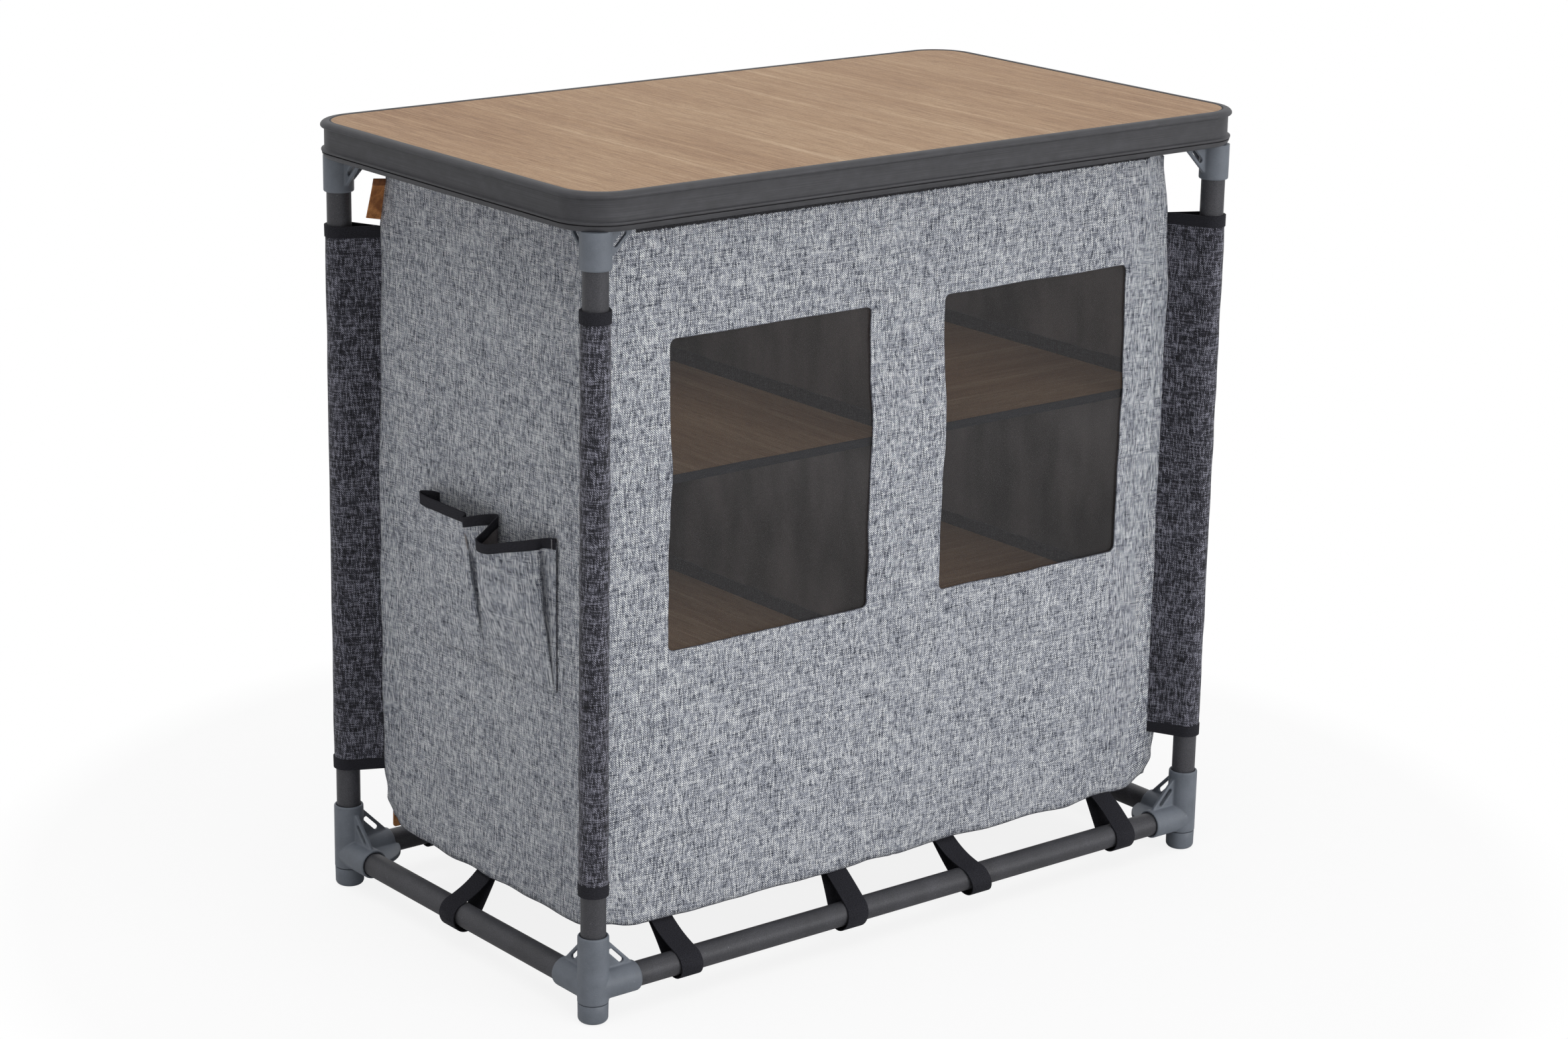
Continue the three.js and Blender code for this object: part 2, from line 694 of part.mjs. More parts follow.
// Zips: a tape with its closed coil down both sides of each door, a slider and a leather puller
const sliderBack = tapeBack + coilHeight + seatGap;
const sliderOutline = [
  [-sliderNose / 2, 0], [sliderNose / 2, 0], [sliderWidth / 2, sliderHeight * shoulderShare],
  [sliderWidth / 2, sliderHeight], [coilWidth / 4, sliderHeight],
  [0, sliderHeight * notchShare], [-coilWidth / 4, sliderHeight],
  [-sliderWidth / 2, sliderHeight], [-sliderWidth / 2, sliderHeight * shoulderShare],
].map(([x, z]) => new THREE.Vector2(x, z));
const sliderBottom = zipBottom;
const pivotY = sliderBack + sliderThickness + lugDepth / 2;
const pivotZ = sliderBottom - pullerThickness / 2 - seatGap;
zipPlaces.forEach(({ name, x }) => {
  const body = prism(sliderOutline, sliderThickness).rotateX(Math.PI / 2);
  body.translate(0, sliderThickness, 0);
  const lug = block(
    [-lugWidth / 2, sliderThickness / 2, 0],
    [lugWidth / 2, sliderThickness + lugDepth, lugHeight],
  );
  const slider = addPiece(`zip_slider_${name}`, toGeometry(toSolid(body).add(toSolid(lug))), 'zip');
  slider.position.set(x, sliderBack, sliderBottom);
  const strip = [];
  for (let step = 0; step <= cornerSteps; step += 1) {
    const angle = Math.PI * step / cornerSteps;
    strip.push(new THREE.Vector2(
      pullerThickness / 2 * Math.cos(angle),
      pullerThickness / 2 * Math.sin(angle),
    ));
  }
  strip.push(new THREE.Vector2(-pullerThickness / 2, -pullerLength));
  strip.push(new THREE.Vector2(pullerThickness / 2, -pullerLength));
  const puller = addPiece(`zip_puller_${name}`, prism(strip, pullerWidth)
    .translate(0, 0, -pullerWidth / 2)
    .rotateX(Math.PI / 2)
    .rotateZ(Math.PI / 2), 'leather');
  puller.position.set(x, pivotY, pivotZ);
});

// Floor of the cabinet, with the hook-and-loop straps sewn to it that loop round the cross tubes
const strapInner = tubeRadius + strapClearance;
const strapOuter = strapInner + strapThickness;
const strapRise = floorHeight + clothThickness / 2 - crossTubeHeight;
const strapPlaces = [outerStrapGap - legX, -innerStrapGap, innerStrapGap, legX - outerStrapGap];

function strap() {
  const run = cornerGap + strapInset;
  const reach = Math.hypot(run, strapRise);
  const hole = drop(strapInner, reach * strapInner / strapOuter, strapSteps);
  return prism(drop(strapOuter, reach, strapSteps), strapWidth, [hole])
    .translate(0, 0, -strapWidth / 2)
    .rotateZ(Math.atan2(strapRise, run))
    .rotateX(Math.PI / 2);
}

const floorOutline = roundedOutline(
  halfLength - clothThickness - seatGap,
  halfDepth - clothThickness - seatGap,
  floorCornerRadius,
  floorCornerSteps,
);
let floorCloth = toSolid(prism(floorOutline, clothThickness).translate(0, 0, floorHeight));
[-1, 1].forEach((sign) => {
  const endTurn = sign > 0 ? Math.PI : 0;
  const endStrap = strap().rotateZ(endTurn).translate(sign * legX, 0, crossTubeHeight);
  floorCloth = floorCloth.add(toSolid(endStrap));
  strapPlaces.forEach((x) => {
    const sideStrap = strap().rotateZ(-sign * Math.PI / 2);
    floorCloth = floorCloth.add(toSolid(sideStrap.translate(x, sign * legY, crossTubeHeight)));
  });
});
addPiece('cabinet_floor', toGeometry(floorCloth), 'lining');
const dividerBottom = floorHeight + clothThickness + seatGap;
addPiece('centre_divider', block(
  [-clothThickness / 2, -sideHalf, dividerBottom], [clothThickness / 2, sideHalf, cabinetTop],
), 'lining');
const stripFace = halfDepth + seatGap;
[['rear', -1], ['front', 1]].forEach(([name, sign]) => {
  const [low, high] = signedSpan(sign, stripFace, stripFace + stripThickness);
  addPiece(`fixing_strip_${name}`, block(
    [-halfLength + stripInset, low, cabinetTop - stripHeight],
    [halfLength - stripInset, high, cabinetTop],
  ), 'webbing');
});

// Shelves: a stiff board in a cloth tray with turned-up lips, one per bay at two heights, and a
// board on the floor of each bay
const shelfHeights = { lower: lowerShelfHeight, upper: lowerShelfHeight + shelfSpacing };
const bayInner = clothThickness / 2 + seatGap;
const bayOuter = halfLength - clothThickness - seatGap;
const trayHalf = sideHalf - trayEndGap;
const boardHalf = trayHalf - trimThickness - seatGap;
const boardInner = bayInner + trayThickness + seatGap;
const boardOuter = bayOuter - trayThickness - seatGap;

function shelfTray(sign, top) {
  const [low, high] = signedSpan(sign, bayInner, bayOuter);
  const base = top - boardShelfThickness - seatGap - trayThickness;
  const lipTop = top + trayLipRise;
  const section = [
    [low, base], [high, base], [high, lipTop], [high - trayThickness, lipTop],
    [high - trayThickness, base + trayThickness], [low + trayThickness, base + trayThickness],
    [low + trayThickness, lipTop], [low, lipTop],
  ].map(([x, z]) => new THREE.Vector2(x, z));
  const cloth = prism(section, 2 * trayHalf).rotateX(Math.PI / 2).translate(0, trayHalf, 0);
  const trims = [-1, 1].map((end) => {
    const [nearY, farY] = signedSpan(end, trayHalf - trimThickness, trayHalf);
    return toSolid(block([low, nearY, base], [high, farY, top]));
  });
  return toSolid(cloth).add(trims[0]).add(trims[1]);
}

sides.forEach(({ name, sign }) => {
  const [boardLow, boardHigh] = signedSpan(sign, boardInner, boardOuter);
  Object.entries(shelfHeights).forEach(([level, top]) => {
    addPiece(`shelf_tray_${level}_${name}`, toGeometry(shelfTray(sign, top)), 'darkCloth');
    addPiece(`shelf_board_${level}_${name}`, block(
      [boardLow, -boardHalf, top - boardShelfThickness], [boardHigh, boardHalf, top],
    ), 'wood');
  });
  const floorBoard = prism(roundedOutline(
    (boardHigh - boardLow) / 2, boardHalf, floorBoardCornerRadius, floorCornerSteps,
  ), boardShelfThickness);
  floorBoard.translate((boardLow + boardHigh) / 2, 0, dividerBottom);
  addPiece(`floor_board_${name}`, floorBoard, 'wood');
});

// Corner sleeves: doubled cloth sewn into the cabinet's corner seams and slipped over the legs
const sleeveInner = tubeRadius + sleeveClearance;
const sleeveOuter = sleeveInner + sleeveThickness;
const sleeveReach = Math.hypot(cornerGap, cornerGap) - seatGap;
const sleeveHole = drop(sleeveInner, sleeveReach * sleeveInner / sleeveOuter, sleeveSteps);
const sleeveHeight = sleeveTop - sleeveBottom;
const sleeveSolid = (() => {
  const cloth = toSolid(prism(drop(sleeveOuter, sleeveReach, sleeveSteps), sleeveHeight));
  const bands = [0, sleeveHeight - bindingHeight].map((height) => toSolid(
    prism(drop(sleeveOuter + bindingExtra, sleeveReach, sleeveSteps), bindingHeight)
      .translate(0, 0, height),
  ));
  const hole = prism(sleeveHole, sleeveHeight + 2 * cutOverrun).translate(0, 0, -cutOverrun);
  return toGeometry(cloth.add(bands[0]).add(bands[1]).subtract(toSolid(hole)));
})();
corners.forEach(({ name, signX, signY }) => {
  const sleeve = addPiece(`sleeve_${name}`, sleeveSolid, 'darkCloth');
  sleeve.rotation.z = Math.atan2(-signY, -signX);
  sleeve.position.set(signX * legX, signY * legY, sleeveBottom);
});

// Utensil pocket: two pleated pouches sewn to the left wall, deep beside the middle seam. Each pair
// of pouch shares says how far along the pouch a pleat line lies and how far out its mouth bulges.
const pouchColumns = [
  ...leftPouchShares.map(([along, out]) => ({ y: lerp(pocketLeft, pocketSeam, along), out })),
  ...rightPouchShares.map(([along, out]) => ({ y: lerp(pocketSeam, pocketRight, along), out })),
];
const wallFace = halfLength + seatGap;

function pouchPoint({ y, out }, down, stand) {
  const fill = (1 - down) * (1 - down * down / 2);
  const z = pocketMouth - pocketLength * down - pocketSag * out * (1 - down);
  return new THREE.Vector3(-(wallFace + pocketBulge * out * fill + stand), y, z);
}

const bindingShare = pocketBindingHeight / pocketLength;
const bindingBreak = bindingShare + seatGap / pocketLength;
addPiece('utensil_pocket', sheet(
  pouchColumns,
  evenShares(pocketRows).map((share) => lerp(bindingBreak, 1, share)),
  (column, down, side) => pouchPoint(column, down, side === 0 ? pocketThickness : 0),
), 'lightCloth');
addPiece('pocket_binding', sheet(
  pouchColumns,
  [0, bindingShare],
  (column, down, side) => pouchPoint(column, down, side === 0 ? pocketThickness + bindingExtra : 0),
), 'webbing');

// Plain leather tag sewn into the front left corner seam
const tagBottom = sleeveTop + tagGap;
addPiece('leather_tag', block(
  [-halfLength - seatGap - tagWidth, halfDepth - tagThickness, tagBottom],
  [-halfLength - seatGap, halfDepth, tagBottom + tagHeight],
), 'leather');

export default cupboard;
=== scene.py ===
import bpy
import numpy as np
from mathutils import Matrix


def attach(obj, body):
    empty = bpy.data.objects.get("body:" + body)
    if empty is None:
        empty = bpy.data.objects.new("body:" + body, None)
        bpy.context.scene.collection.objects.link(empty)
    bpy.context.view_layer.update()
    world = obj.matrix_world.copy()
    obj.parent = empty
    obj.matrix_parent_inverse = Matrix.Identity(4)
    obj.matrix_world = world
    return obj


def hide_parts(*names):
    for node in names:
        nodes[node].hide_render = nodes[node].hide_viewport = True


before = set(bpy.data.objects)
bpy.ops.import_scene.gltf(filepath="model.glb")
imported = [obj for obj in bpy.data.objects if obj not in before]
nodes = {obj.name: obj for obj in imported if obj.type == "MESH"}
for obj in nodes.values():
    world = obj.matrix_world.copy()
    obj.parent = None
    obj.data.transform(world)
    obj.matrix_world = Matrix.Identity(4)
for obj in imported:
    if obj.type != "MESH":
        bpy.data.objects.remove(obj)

scene = bpy.context.scene
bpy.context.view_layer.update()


# Camera: a long lens 3.9 m away, to the left of the long rear side and a little above the table
# top, turned by one degree.
def placed(axes, place):
    """The matrix of an object with the given X, Y and Z axes, at a place."""
    rows = [[*row, start] for row, start in zip(np.stack(axes, 1), place)]
    return Matrix(rows + [[0, 0, 0, 1]])


azimuth, elevation, roll = np.radians([-38.80, 16.27, 1.06])
target, camera_distance = np.array([0.00748, 0, 0.38674]), 3.8886
back = np.array([
    np.sin(azimuth) * np.cos(elevation), -np.cos(azimuth) * np.cos(elevation), np.sin(elevation),
])
level = np.cross([0, 0, 1], back)
level /= np.linalg.norm(level)
upright = np.cross(back, level)
right = np.cos(roll) * level + np.sin(roll) * upright
up = np.cos(roll) * upright - np.sin(roll) * level
camera = bpy.data.objects.new("camera", bpy.data.cameras.new("camera"))
camera.data.sensor_width = 36
camera.data.lens = 84.71
camera.matrix_world = placed([right, up, back], target + camera_distance * back)
scene.collection.objects.link(camera)
scene.camera = camera


# Room: a white floor without an end, even light from all round, a soft lamp from the right of the
# rear side, a softer one from above and four weak ones inside the cabinet.
class Signal:
    """A value or colour in a material. Sums, differences and products of values add Math nodes."""

    def __init__(self, finish, socket):
        self.finish, self.socket = finish, socket

    def math(self, operation, *values):
        """What a Math node makes of the values."""
        return self.finish.node("Math", dict(enumerate(values)), operation=operation)

    def __add__(self, other):
        return self.math("ADD", self, other)

    def __sub__(self, other):
        return self.math("SUBTRACT", self, other)

    def __rsub__(self, other):
        return self.math("SUBTRACT", other, self)

    def __mul__(self, other):
        return self.math("MULTIPLY", self, other)

    __radd__, __rmul__ = __add__, __mul__

    def sine(self):
        return self.math("SINE", self)

    def held(self, low=0, high=1):
        """The value, kept between low and high."""
        return self.math("MINIMUM", self.math("MAXIMUM", self, low), high)

    def above(self, threshold, gain):
        """What the value has above a threshold, times a gain, kept between 0 and 1."""
        return ((self - threshold) * gain).held()


def shade(red, green, blue):
    """A display colour from 0 to 255 as the linear colour that a socket takes."""
    share = np.array([red, green, blue]) / 255
    linear = np.where(share > 0.04045, ((share + 0.055) / 1.055) ** 2.4, share / 12.92)
    return (*linear.tolist(), 1)


class Finish:
    """A material, or the world, whose nodes are added one at a time."""

    def __init__(self, name, owner=None):
        self.material = owner or bpy.data.materials.new(name)
        self.material.use_nodes = True
        self.tree = self.material.node_tree
        self.tree.nodes.clear()

    def node(self, kind, sockets=None, output=0, stops=(), **settings):
        """Adds a node with its settings, a ramp's stops and its sockets. Returns its output."""
        made = self.tree.nodes.new("ShaderNode" + kind)
        for name, value in settings.items():
            setattr(made, name, value)
        if stops:
            ramp = made.color_ramp.elements
            while len(ramp) < len(stops):
                ramp.new(1)
            for element, (position, *colour) in zip(ramp, stops):
                element.position, element.color = position, shade(*colour)
        for name, value in (sockets or {}).items():
            if isinstance(value, Signal):
                self.tree.links.new(value.socket, made.inputs[name])
            else:
                made.inputs[name].default_value = value
        if isinstance(output, tuple):
            return [Signal(self, made.outputs[number]) for number in output]
        return Signal(self, made.outputs[output]) if len(made.outputs) else None

    def surface(self, shader):
        """Makes a shader the material's surface."""
        self.node("OutputMaterial", {"Surface": shader})
        return self

    def cover(self, sockets):
        """Makes the surface a principled one with the given sockets."""
        return self.surface(self.node("BsdfPrincipled", sockets))

    def here(self):
        """Coordinates in the object."""
        return self.node("TexCoord", output=3)

    def run(self):
        """Coordinates on the unrolled surface, in metres."""
        return self.node("UVMap", uv_map="run")

    def spread(self, vector, scale):
        """The coordinates times a scale, or times one for each axis, to stretch a pattern."""
        scale = scale if isinstance(scale, tuple) else (scale,) * 3
        return self.node("VectorMath", {0: vector, 1: scale}, operation="MULTIPLY")

    def noise(self, vector, scale, detail=2, roughness=0.5):
        """Soft noise whose spots are about one over the scale in size."""
        return self.node("TexNoise", {
            "Vector": self.spread(vector, scale), "Scale": 1, "Detail": detail,
            "Roughness": roughness,
        })

    def ramp(self, value, *stops):
        """A colour for each value, from stops of a position and a display colour."""
        return self.node("ValToRGB", {"Fac": value}, stops=stops)

    def blend(self, factor, colour, display_colour):
        """A mix of a colour and a display colour."""
        return self.node(
            "Mix", {0: factor, 6: colour, 7: shade(*display_colour)}, 2, data_type="RGBA")

    def bump(self, height, distance, strength=1):
        """A normal that leans as the height rises and falls over the distance."""
        return self.node("Bump", {"Height": height, "Distance": distance, "Strength": strength})


ambient = 0.31
scene.world = bpy.data.worlds.new("studio")
world = Finish("studio", scene.world)
camera_ray, glossy_ray, clear_ray = world.node(
    "LightPath", output=("Is Camera Ray", "Is Glossy Ray", "Is Transmission Ray"))
seen = (camera_ray + glossy_ray + clear_ray).held()
world.node("OutputWorld", {"Surface": world.node("Background", {
    "Color": (1, 1, 1, 1), "Strength": ambient + (1 - ambient) * seen,
})})

floor_finish = Finish("floor_white")
distance = floor_finish.node("VectorMath", {0: floor_finish.here()}, 1, operation="LENGTH")
white = ((distance - 0.25) * 1.6).held(0.86, 1)
floor_finish.surface(floor_finish.node("MixShader", {
    0: white * floor_finish.node("LightPath"),
    1: floor_finish.node("BsdfDiffuse", {"Color": (0.96, 0.96, 0.96, 1)}),
    2: floor_finish.node("Emission", {"Color": (1, 1, 1, 1), "Strength": 1}),
}))
floor_half, floor_height = 30, -2e-4
floor_mesh = bpy.data.meshes.new("floor")
floor_mesh.from_pydata([
    (sign_x * floor_half, sign_y * floor_half, floor_height)
    for sign_x, sign_y in ((-1, -1), (1, -1), (1, 1), (-1, 1))
], [], [(0, 1, 2, 3)])
floor_mesh.materials.append(floor_finish.material)
floor = bpy.data.objects.new("floor", floor_mesh)
scene.collection.objects.link(floor)
scene.view_settings.view_transform = "Standard"


def lamp(name, kind, energy, place, towards):
    """A lamp at a place, turned so that it shines along a direction."""
    made = bpy.data.objects.new(name, bpy.data.lights.new(name, kind))
    made.data.energy = energy
    along = np.array(towards) / np.linalg.norm(towards)
    side = np.cross(along, [0, 0, 1])
    side /= np.linalg.norm(side)
    made.matrix_world = placed([side, np.cross(side, along), -along], place)
    scene.collection.objects.link(made)
    return made


key_lamp = lamp("soft_lamp", "SUN", 0.46 * np.pi, (0, -2, 1), (-0.3, 0.85, -0.2))
key_lamp.data.angle = np.radians(40)
top_lamp = lamp("top_lamp", "SUN", 0.42 * np.pi, (0, 0, 2), (0.1, 0.05, -1))
top_lamp.data.angle = np.radians(60)
for side, x in (("left", -0.183), ("right", 0.183)):
    for level, height in (("middle", 0.508), ("upper", 0.775)):
        glow = lamp(f"glow_{level}_{side}", "AREA", 0.28, (x, 0, height), (0, 0.01, -1))
        glow.data.shape, glow.data.size, glow.data.size_y = "RECTANGLE", 0.3, 0.34
        glow.visible_camera = glow.visible_glossy = False


# Frame tubes: four legs and four cross tubes of drawn steel tube, 25 mm across, with a satin
# anthracite powder coat. The ends sit in the moulded connectors.
def stacked(*values):
    """Points from their coordinates, which are numbers or arrays that stretch to one shape."""
    return np.stack(np.broadcast_arrays(*values), -1)


def grid(points, uv=None, wrap_rows=False, wrap_columns=False, lids=False, kept=None):
    """A surface from points (rows, columns, 3): each face joins a point to the next in its row and
    the two above them. Rows and columns may wrap round to their start, lids close both ends, and
    kept marks the faces that stay. Returns points, faces and one UV pair for each face corner."""
    rows, columns = points.shape[:2]
    if uv is None:
        uv = np.zeros((rows + 1, columns + 1, 2))
    i, j = np.meshgrid(
        np.arange(rows - (not wrap_rows)), np.arange(columns - (not wrap_columns)), indexing="ij",
    )
    if kept is not None:
        i, j = i[kept], j[kept]
    i = i.ravel()[:, None] + [0, 0, 1, 1]
    j = j.ravel()[:, None] + [0, 1, 1, 0]
    faces = (i % rows * columns + j % columns).tolist()
    corners = uv[i, j].reshape(-1, 2)
    if lids:
        last = (rows - 1) * columns
        faces += [list(range(columns))[::-1], list(range(last, last + columns))]
        corners = np.concatenate([corners, uv[0, :columns][::-1], uv[rows - 1, :columns]])
    return points.reshape(-1, 3), faces, corners


def solid_run(rings, uv=None):
    """A closed body from rings of points, with a lid at both ends."""
    return grid(rings, uv, False, True, True)


def join(*shapes):
    """Several shapes as one."""
    starts = np.cumsum([0] + [len(points) for points, _, _ in shapes])
    faces = [
        [corner + start for corner in face]
        for (_, listed, _), start in zip(shapes, starts.tolist()) for face in listed
    ]
    return np.concatenate([s[0] for s in shapes]), faces, np.concatenate([s[2] for s in shapes])


def lengths(points, closed=False):
    """The distance along a line of points from the first to each of them, and back to the first
    where the line is closed."""
    if closed:
        points = np.concatenate([points, points[:1]])
    steps = np.linalg.norm(np.diff(points, axis=0), axis=1)
    return np.concatenate([[0], np.cumsum(steps)])


def lathe(profile, sides=64, wrap=True, lids=False):
    """Pairs of radius and height carried round the Z axis."""
    profile = np.array(profile, float)
    radius, height = profile[:, :1], profile[:, 1:]
    angle = np.linspace(0, 2 * np.pi, sides + 1)
    points = stacked(radius * np.cos(angle[:-1]), radius * np.sin(angle[:-1]), height)
    uv = stacked(angle * profile[:, 0].max(), lengths(profile, True)[:, None])
    return grid(points, uv, wrap, True, lids)


def mesh_object(name, shape):
    """A new object with the shape in metres, smooth but for edges over 40 degrees."""
    points, faces, corners = shape
    mesh = bpy.data.meshes.new(name)
    mesh.from_pydata(np.asarray(points) / 1000, [], faces)
    layer = mesh.uv_layers.new(name="run")
    layer.data.foreach_set("uv", (np.asarray(corners) / 1000).ravel().astype(np.float32))
    mesh.shade_smooth()
    mesh.set_sharp_from_angle(angle=np.radians(40))
    made = bpy.data.objects.new(name, mesh)
    scene.collection.objects.link(made)
    return made


def piece(name, shape, finishes, replaced=(), body="cabinet"):
    """A finished piece: its mesh, its materials, the body it rides on and the nodes it replaces."""
    made = mesh_object(name, shape)
    for finish in finishes if isinstance(finishes, list) else [finishes]:
        made.data.materials.append(finish.material)
    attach(made, body)
    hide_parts(*([replaced] if isinstance(replaced, str) else replaced))
    return made


tube_radius, tube_wall = 12.5, 1.2
leg_x, leg_y, leg_low, leg_high = 397, 221, 20.4, 779.6
cross_height = 36
corners = {
    "rear_left": (-1, -1), "rear_right": (1, -1), "front_right": (1, 1), "front_left": (-1, 1),
}
ends = (("rear", -1), ("front", 1))
sides = (("left", -1), ("right", 1))

tube_finish = Finish("satin_powder_coat")
here = tube_finish.here()
grain = tube_finish.noise(here, 1100, 1)
cloud = tube_finish.noise(here, (30, 30, 12), 3)
specks = tube_finish.noise(here, (260, 260, 200), 3, 0.7).above(0.69, 14)
tube_finish.cover({
    "Base Color": tube_finish.blend(0.5 * specks, tube_finish.ramp(
        0.6 * grain + 0.4 * cloud, (0.3, 50, 50, 53), (0.5, 64, 64, 68), (0.7, 80, 80, 85),
    ), (140, 142, 146)),
    "Metallic": 0.2,
    "Specular IOR Level": 0.35,
    "Roughness": 0.4 + 0.2 * cloud,
    "Normal": tube_finish.bump(grain, 0.00008),
})


def tube(start, end):
    """A tube with eased ends: its wall's outline carried round, from start to end."""
    inner, bevel = tube_radius - tube_wall, 0.3
    return lathe([
        (inner, start), (tube_radius - bevel, start), (tube_radius, start + bevel),
        (tube_radius, end - bevel), (tube_radius - bevel, end), (inner, end),
    ])


def moved(shape, offset, axes=(0, 1, 2)):
    """A shape with its axes taken in another cyclic order, and moved."""
    points, faces, uv = shape
    return points[:, list(axes)] + offset, faces, uv


def at_leg(sign_x, sign_y):
    """The foot of a leg's axis."""
    return sign_x * leg_x, sign_y * leg_y, 0


for name, signs in corners.items():
    piece(f"leg_{name}", moved(tube(leg_low, leg_high), at_leg(*signs)), tube_finish,
          f"leg_tube_{name}")
to_socket = 16.2
long_half, short_half = leg_x - to_socket, leg_y - to_socket
for name, sign in ends:
    piece(f"long_tube_{name}",
          moved(tube(-long_half, long_half), (0, sign * leg_y, cross_height), (2, 0, 1)),
          tube_finish, f"cross_tube_{name}")
for name, sign in sides:
    piece(f"short_tube_{name}",
          moved(tube(-short_half, short_half), (sign * leg_x, 0, cross_height), (1, 2, 0)),
          tube_finish, f"cross_tube_{name}")


# Lower connectors: one injection moulding for each corner, with an upright socket, two level arms,
# a slotted gusset over each arm and a rounded lobe between them. Tubes are pushed in.
moulding = Finish("blue_grey_moulding")
here = moulding.here()
grain = moulding.noise(here, 1500)
cloud = moulding.noise(here, 45, 4, 0.6)
scuffs = moulding.noise(here, (160, 160, 420), 3, 0.7).above(0.66, 9)
moulding.cover({
    "Base Color": moulding.blend(0.35 * scuffs, moulding.ramp(
        0.35 * grain + 0.65 * cloud, (0.3, 86, 92, 100), (0.5, 99, 105, 114), (0.7, 110, 116, 125),
    ), (168, 172, 176)),
    "Roughness": 0.4 + 0.25 * cloud,
    "Normal": moulding.bump(grain, 0.00015, 0.6),
})


def ray_reach(outline, angle):
    """How far a ray at each angle runs from the origin to the edge of a convex outline."""
    edge = np.roll(outline, -1, 0) - outline
    normal = np.stack([edge[:, 1], -edge[:, 0]], 1)
    along = normal @ np.stack([np.cos(angle), np.sin(angle)])
    reach = (normal * outline).sum(1)[:, None] / np.where(along > 1e-9, along, 1e-9)
    return np.where(along > 1e-9, reach, 1e9).min(0)


def slotted_plate(outline, slot_middle, slot_turn, half):
    """A plate 4 mm thick in the XZ plane with a rounded slot: a ring of faces between the slot's
    edge and the plate's convex outline, both found along rays from the middle of the slot."""
    angle = np.linspace(0, 2 * np.pi, 96, endpoint=False)
    along, across = np.abs(np.cos(angle - slot_turn)), np.abs(np.sin(angle - slot_turn))
    radius = 2.5
    flat = radius / np.maximum(across, 1e-6)
    round_end = half * along + np.sqrt(np.maximum(radius ** 2 - (half * across) ** 2, 0))
    inner = np.where(flat * along <= half, flat, round_end)
    outer = ray_reach(np.array(outline) - slot_middle, angle)
    x, z = slot_middle
    return grid(np.stack([
        stacked(x + reach * np.cos(angle), side, z + reach * np.sin(angle))
        for reach, side in ((inner, -2), (outer, -2), (outer, 2), (inner, 2))
    ]), None, True, True)


def quarter_turned(shape):
    """A shape turned by a quarter about the Z axis, from +X to +Y."""
    points, faces, uv = shape
    return points @ np.array([[0, 1, 0], [-1, 0, 0], [0, 0, 1]]), faces, uv


def socket_arm():
    """A closed socket along +X. Its inner end is a saddle that follows the upright socket's wall,
    at the distance from the leg's axis where the wall is, so the leg's bore stays free."""
    profile = np.array(
        [(r, 0) for r in (0.3, 4, 8, 11, 13, 14.2, 15.5)]
        + [(15.5, 20), (15.5, 30), (15.5, 40), (15.5, 47.4), (15.2, 48.5), (14.5, 49), (13.5, 49),
           (12.8, 48.3), (12.8, 30), (12.8, 15.8), (8, 15.8), (0.3, 15.8)], float)
    angle = np.linspace(0, 2 * np.pi, 72, endpoint=False)
    radius = profile[:, :1]
    saddle = np.sqrt(np.maximum(14.2 ** 2 - (radius * np.cos(angle)) ** 2, 0))
    along = np.where(profile[:, 1:] == 0, saddle, profile[:, 1:])
    return solid_run(stacked(
        along, radius * np.cos(angle), radius * np.sin(angle) + cross_height))


def flat_prism(outline, low, high):
    """A plan outline, anticlockwise, carried from low to high and closed."""
    return solid_run(np.stack([stacked(*np.array(outline, float).T, z) for z in (low, high)]))


def moulded(shape):
    """One body from closed ones that overlap: remeshed on small voxels, then smoothed, which gives
    the inner corners their fillets and the edges their rounding."""
    rough = mesh_object("rough", shape)
    remesh = rough.modifiers.new("voxels", "REMESH")
    remesh.mode, remesh.voxel_size = "VOXEL", 0.00075
    smooth = rough.modifiers.new("fillets", "SMOOTH")
    smooth.factor, smooth.iterations = 0.5, 7
    made = rough.evaluated_get(bpy.context.evaluated_depsgraph_get()).to_mesh()
    points = np.zeros(len(made.vertices) * 3, np.float32)
    made.vertices.foreach_get("co", points)
    loops = np.zeros(len(made.loops), np.int32)
    made.loops.foreach_get("vertex_index", loops)
    faces = np.split(loops, np.cumsum([len(face.vertices) for face in made.polygons])[:-1])
    bpy.data.objects.remove(rough)
    faces = [face.tolist() for face in faces]
    return points.reshape(-1, 3) * 1000.0, faces, np.zeros((len(loops), 2))


def at_corner(shape, sign_x, sign_y):
    """A connector, modelled with its arms along +X and +Y, mirrored into a corner of the frame. A
    single mirror turns faces inside out, so they are listed backwards."""
    points, faces, uv = shape
    x, y, z = points.T
    made = np.stack([sign_x * (leg_x - x), sign_y * (leg_y - y), z], 1)
    return made, faces if sign_x * sign_y > 0 else [face[::-1] for face in faces], uv


gusset = slotted_plate([(14, 48.8), (45.5, 48.8), (45.5, 51.5), (15.5, 81.5), (14, 81.5)],
                       (26.19, 62.19), -np.pi / 4, 9)
arc = np.linspace(0.27, np.pi / 2 - 0.27, 24)
lobe = [(14.2, 14.2)] + [(54 * np.cos(a), 54 * np.sin(a)) for a in arc]
arm = socket_arm()
lower_connector = moulded(join(
    lathe([(12.8, 20.4), (14.9, 20.4), (15.5, 21), (15.5, 88.4), (15.2, 89.5), (14.5, 90),
           (13.5, 90), (12.8, 89.3)], 72),
    arm, quarter_turned(arm), gusset, quarter_turned(gusset), flat_prism(lobe, 33.5, 38.5),
))
for name, signs in corners.items():
    piece(f"floor_connector_{name}", at_corner(lower_connector, *signs), moulding,
          f"lower_connector_{name}")


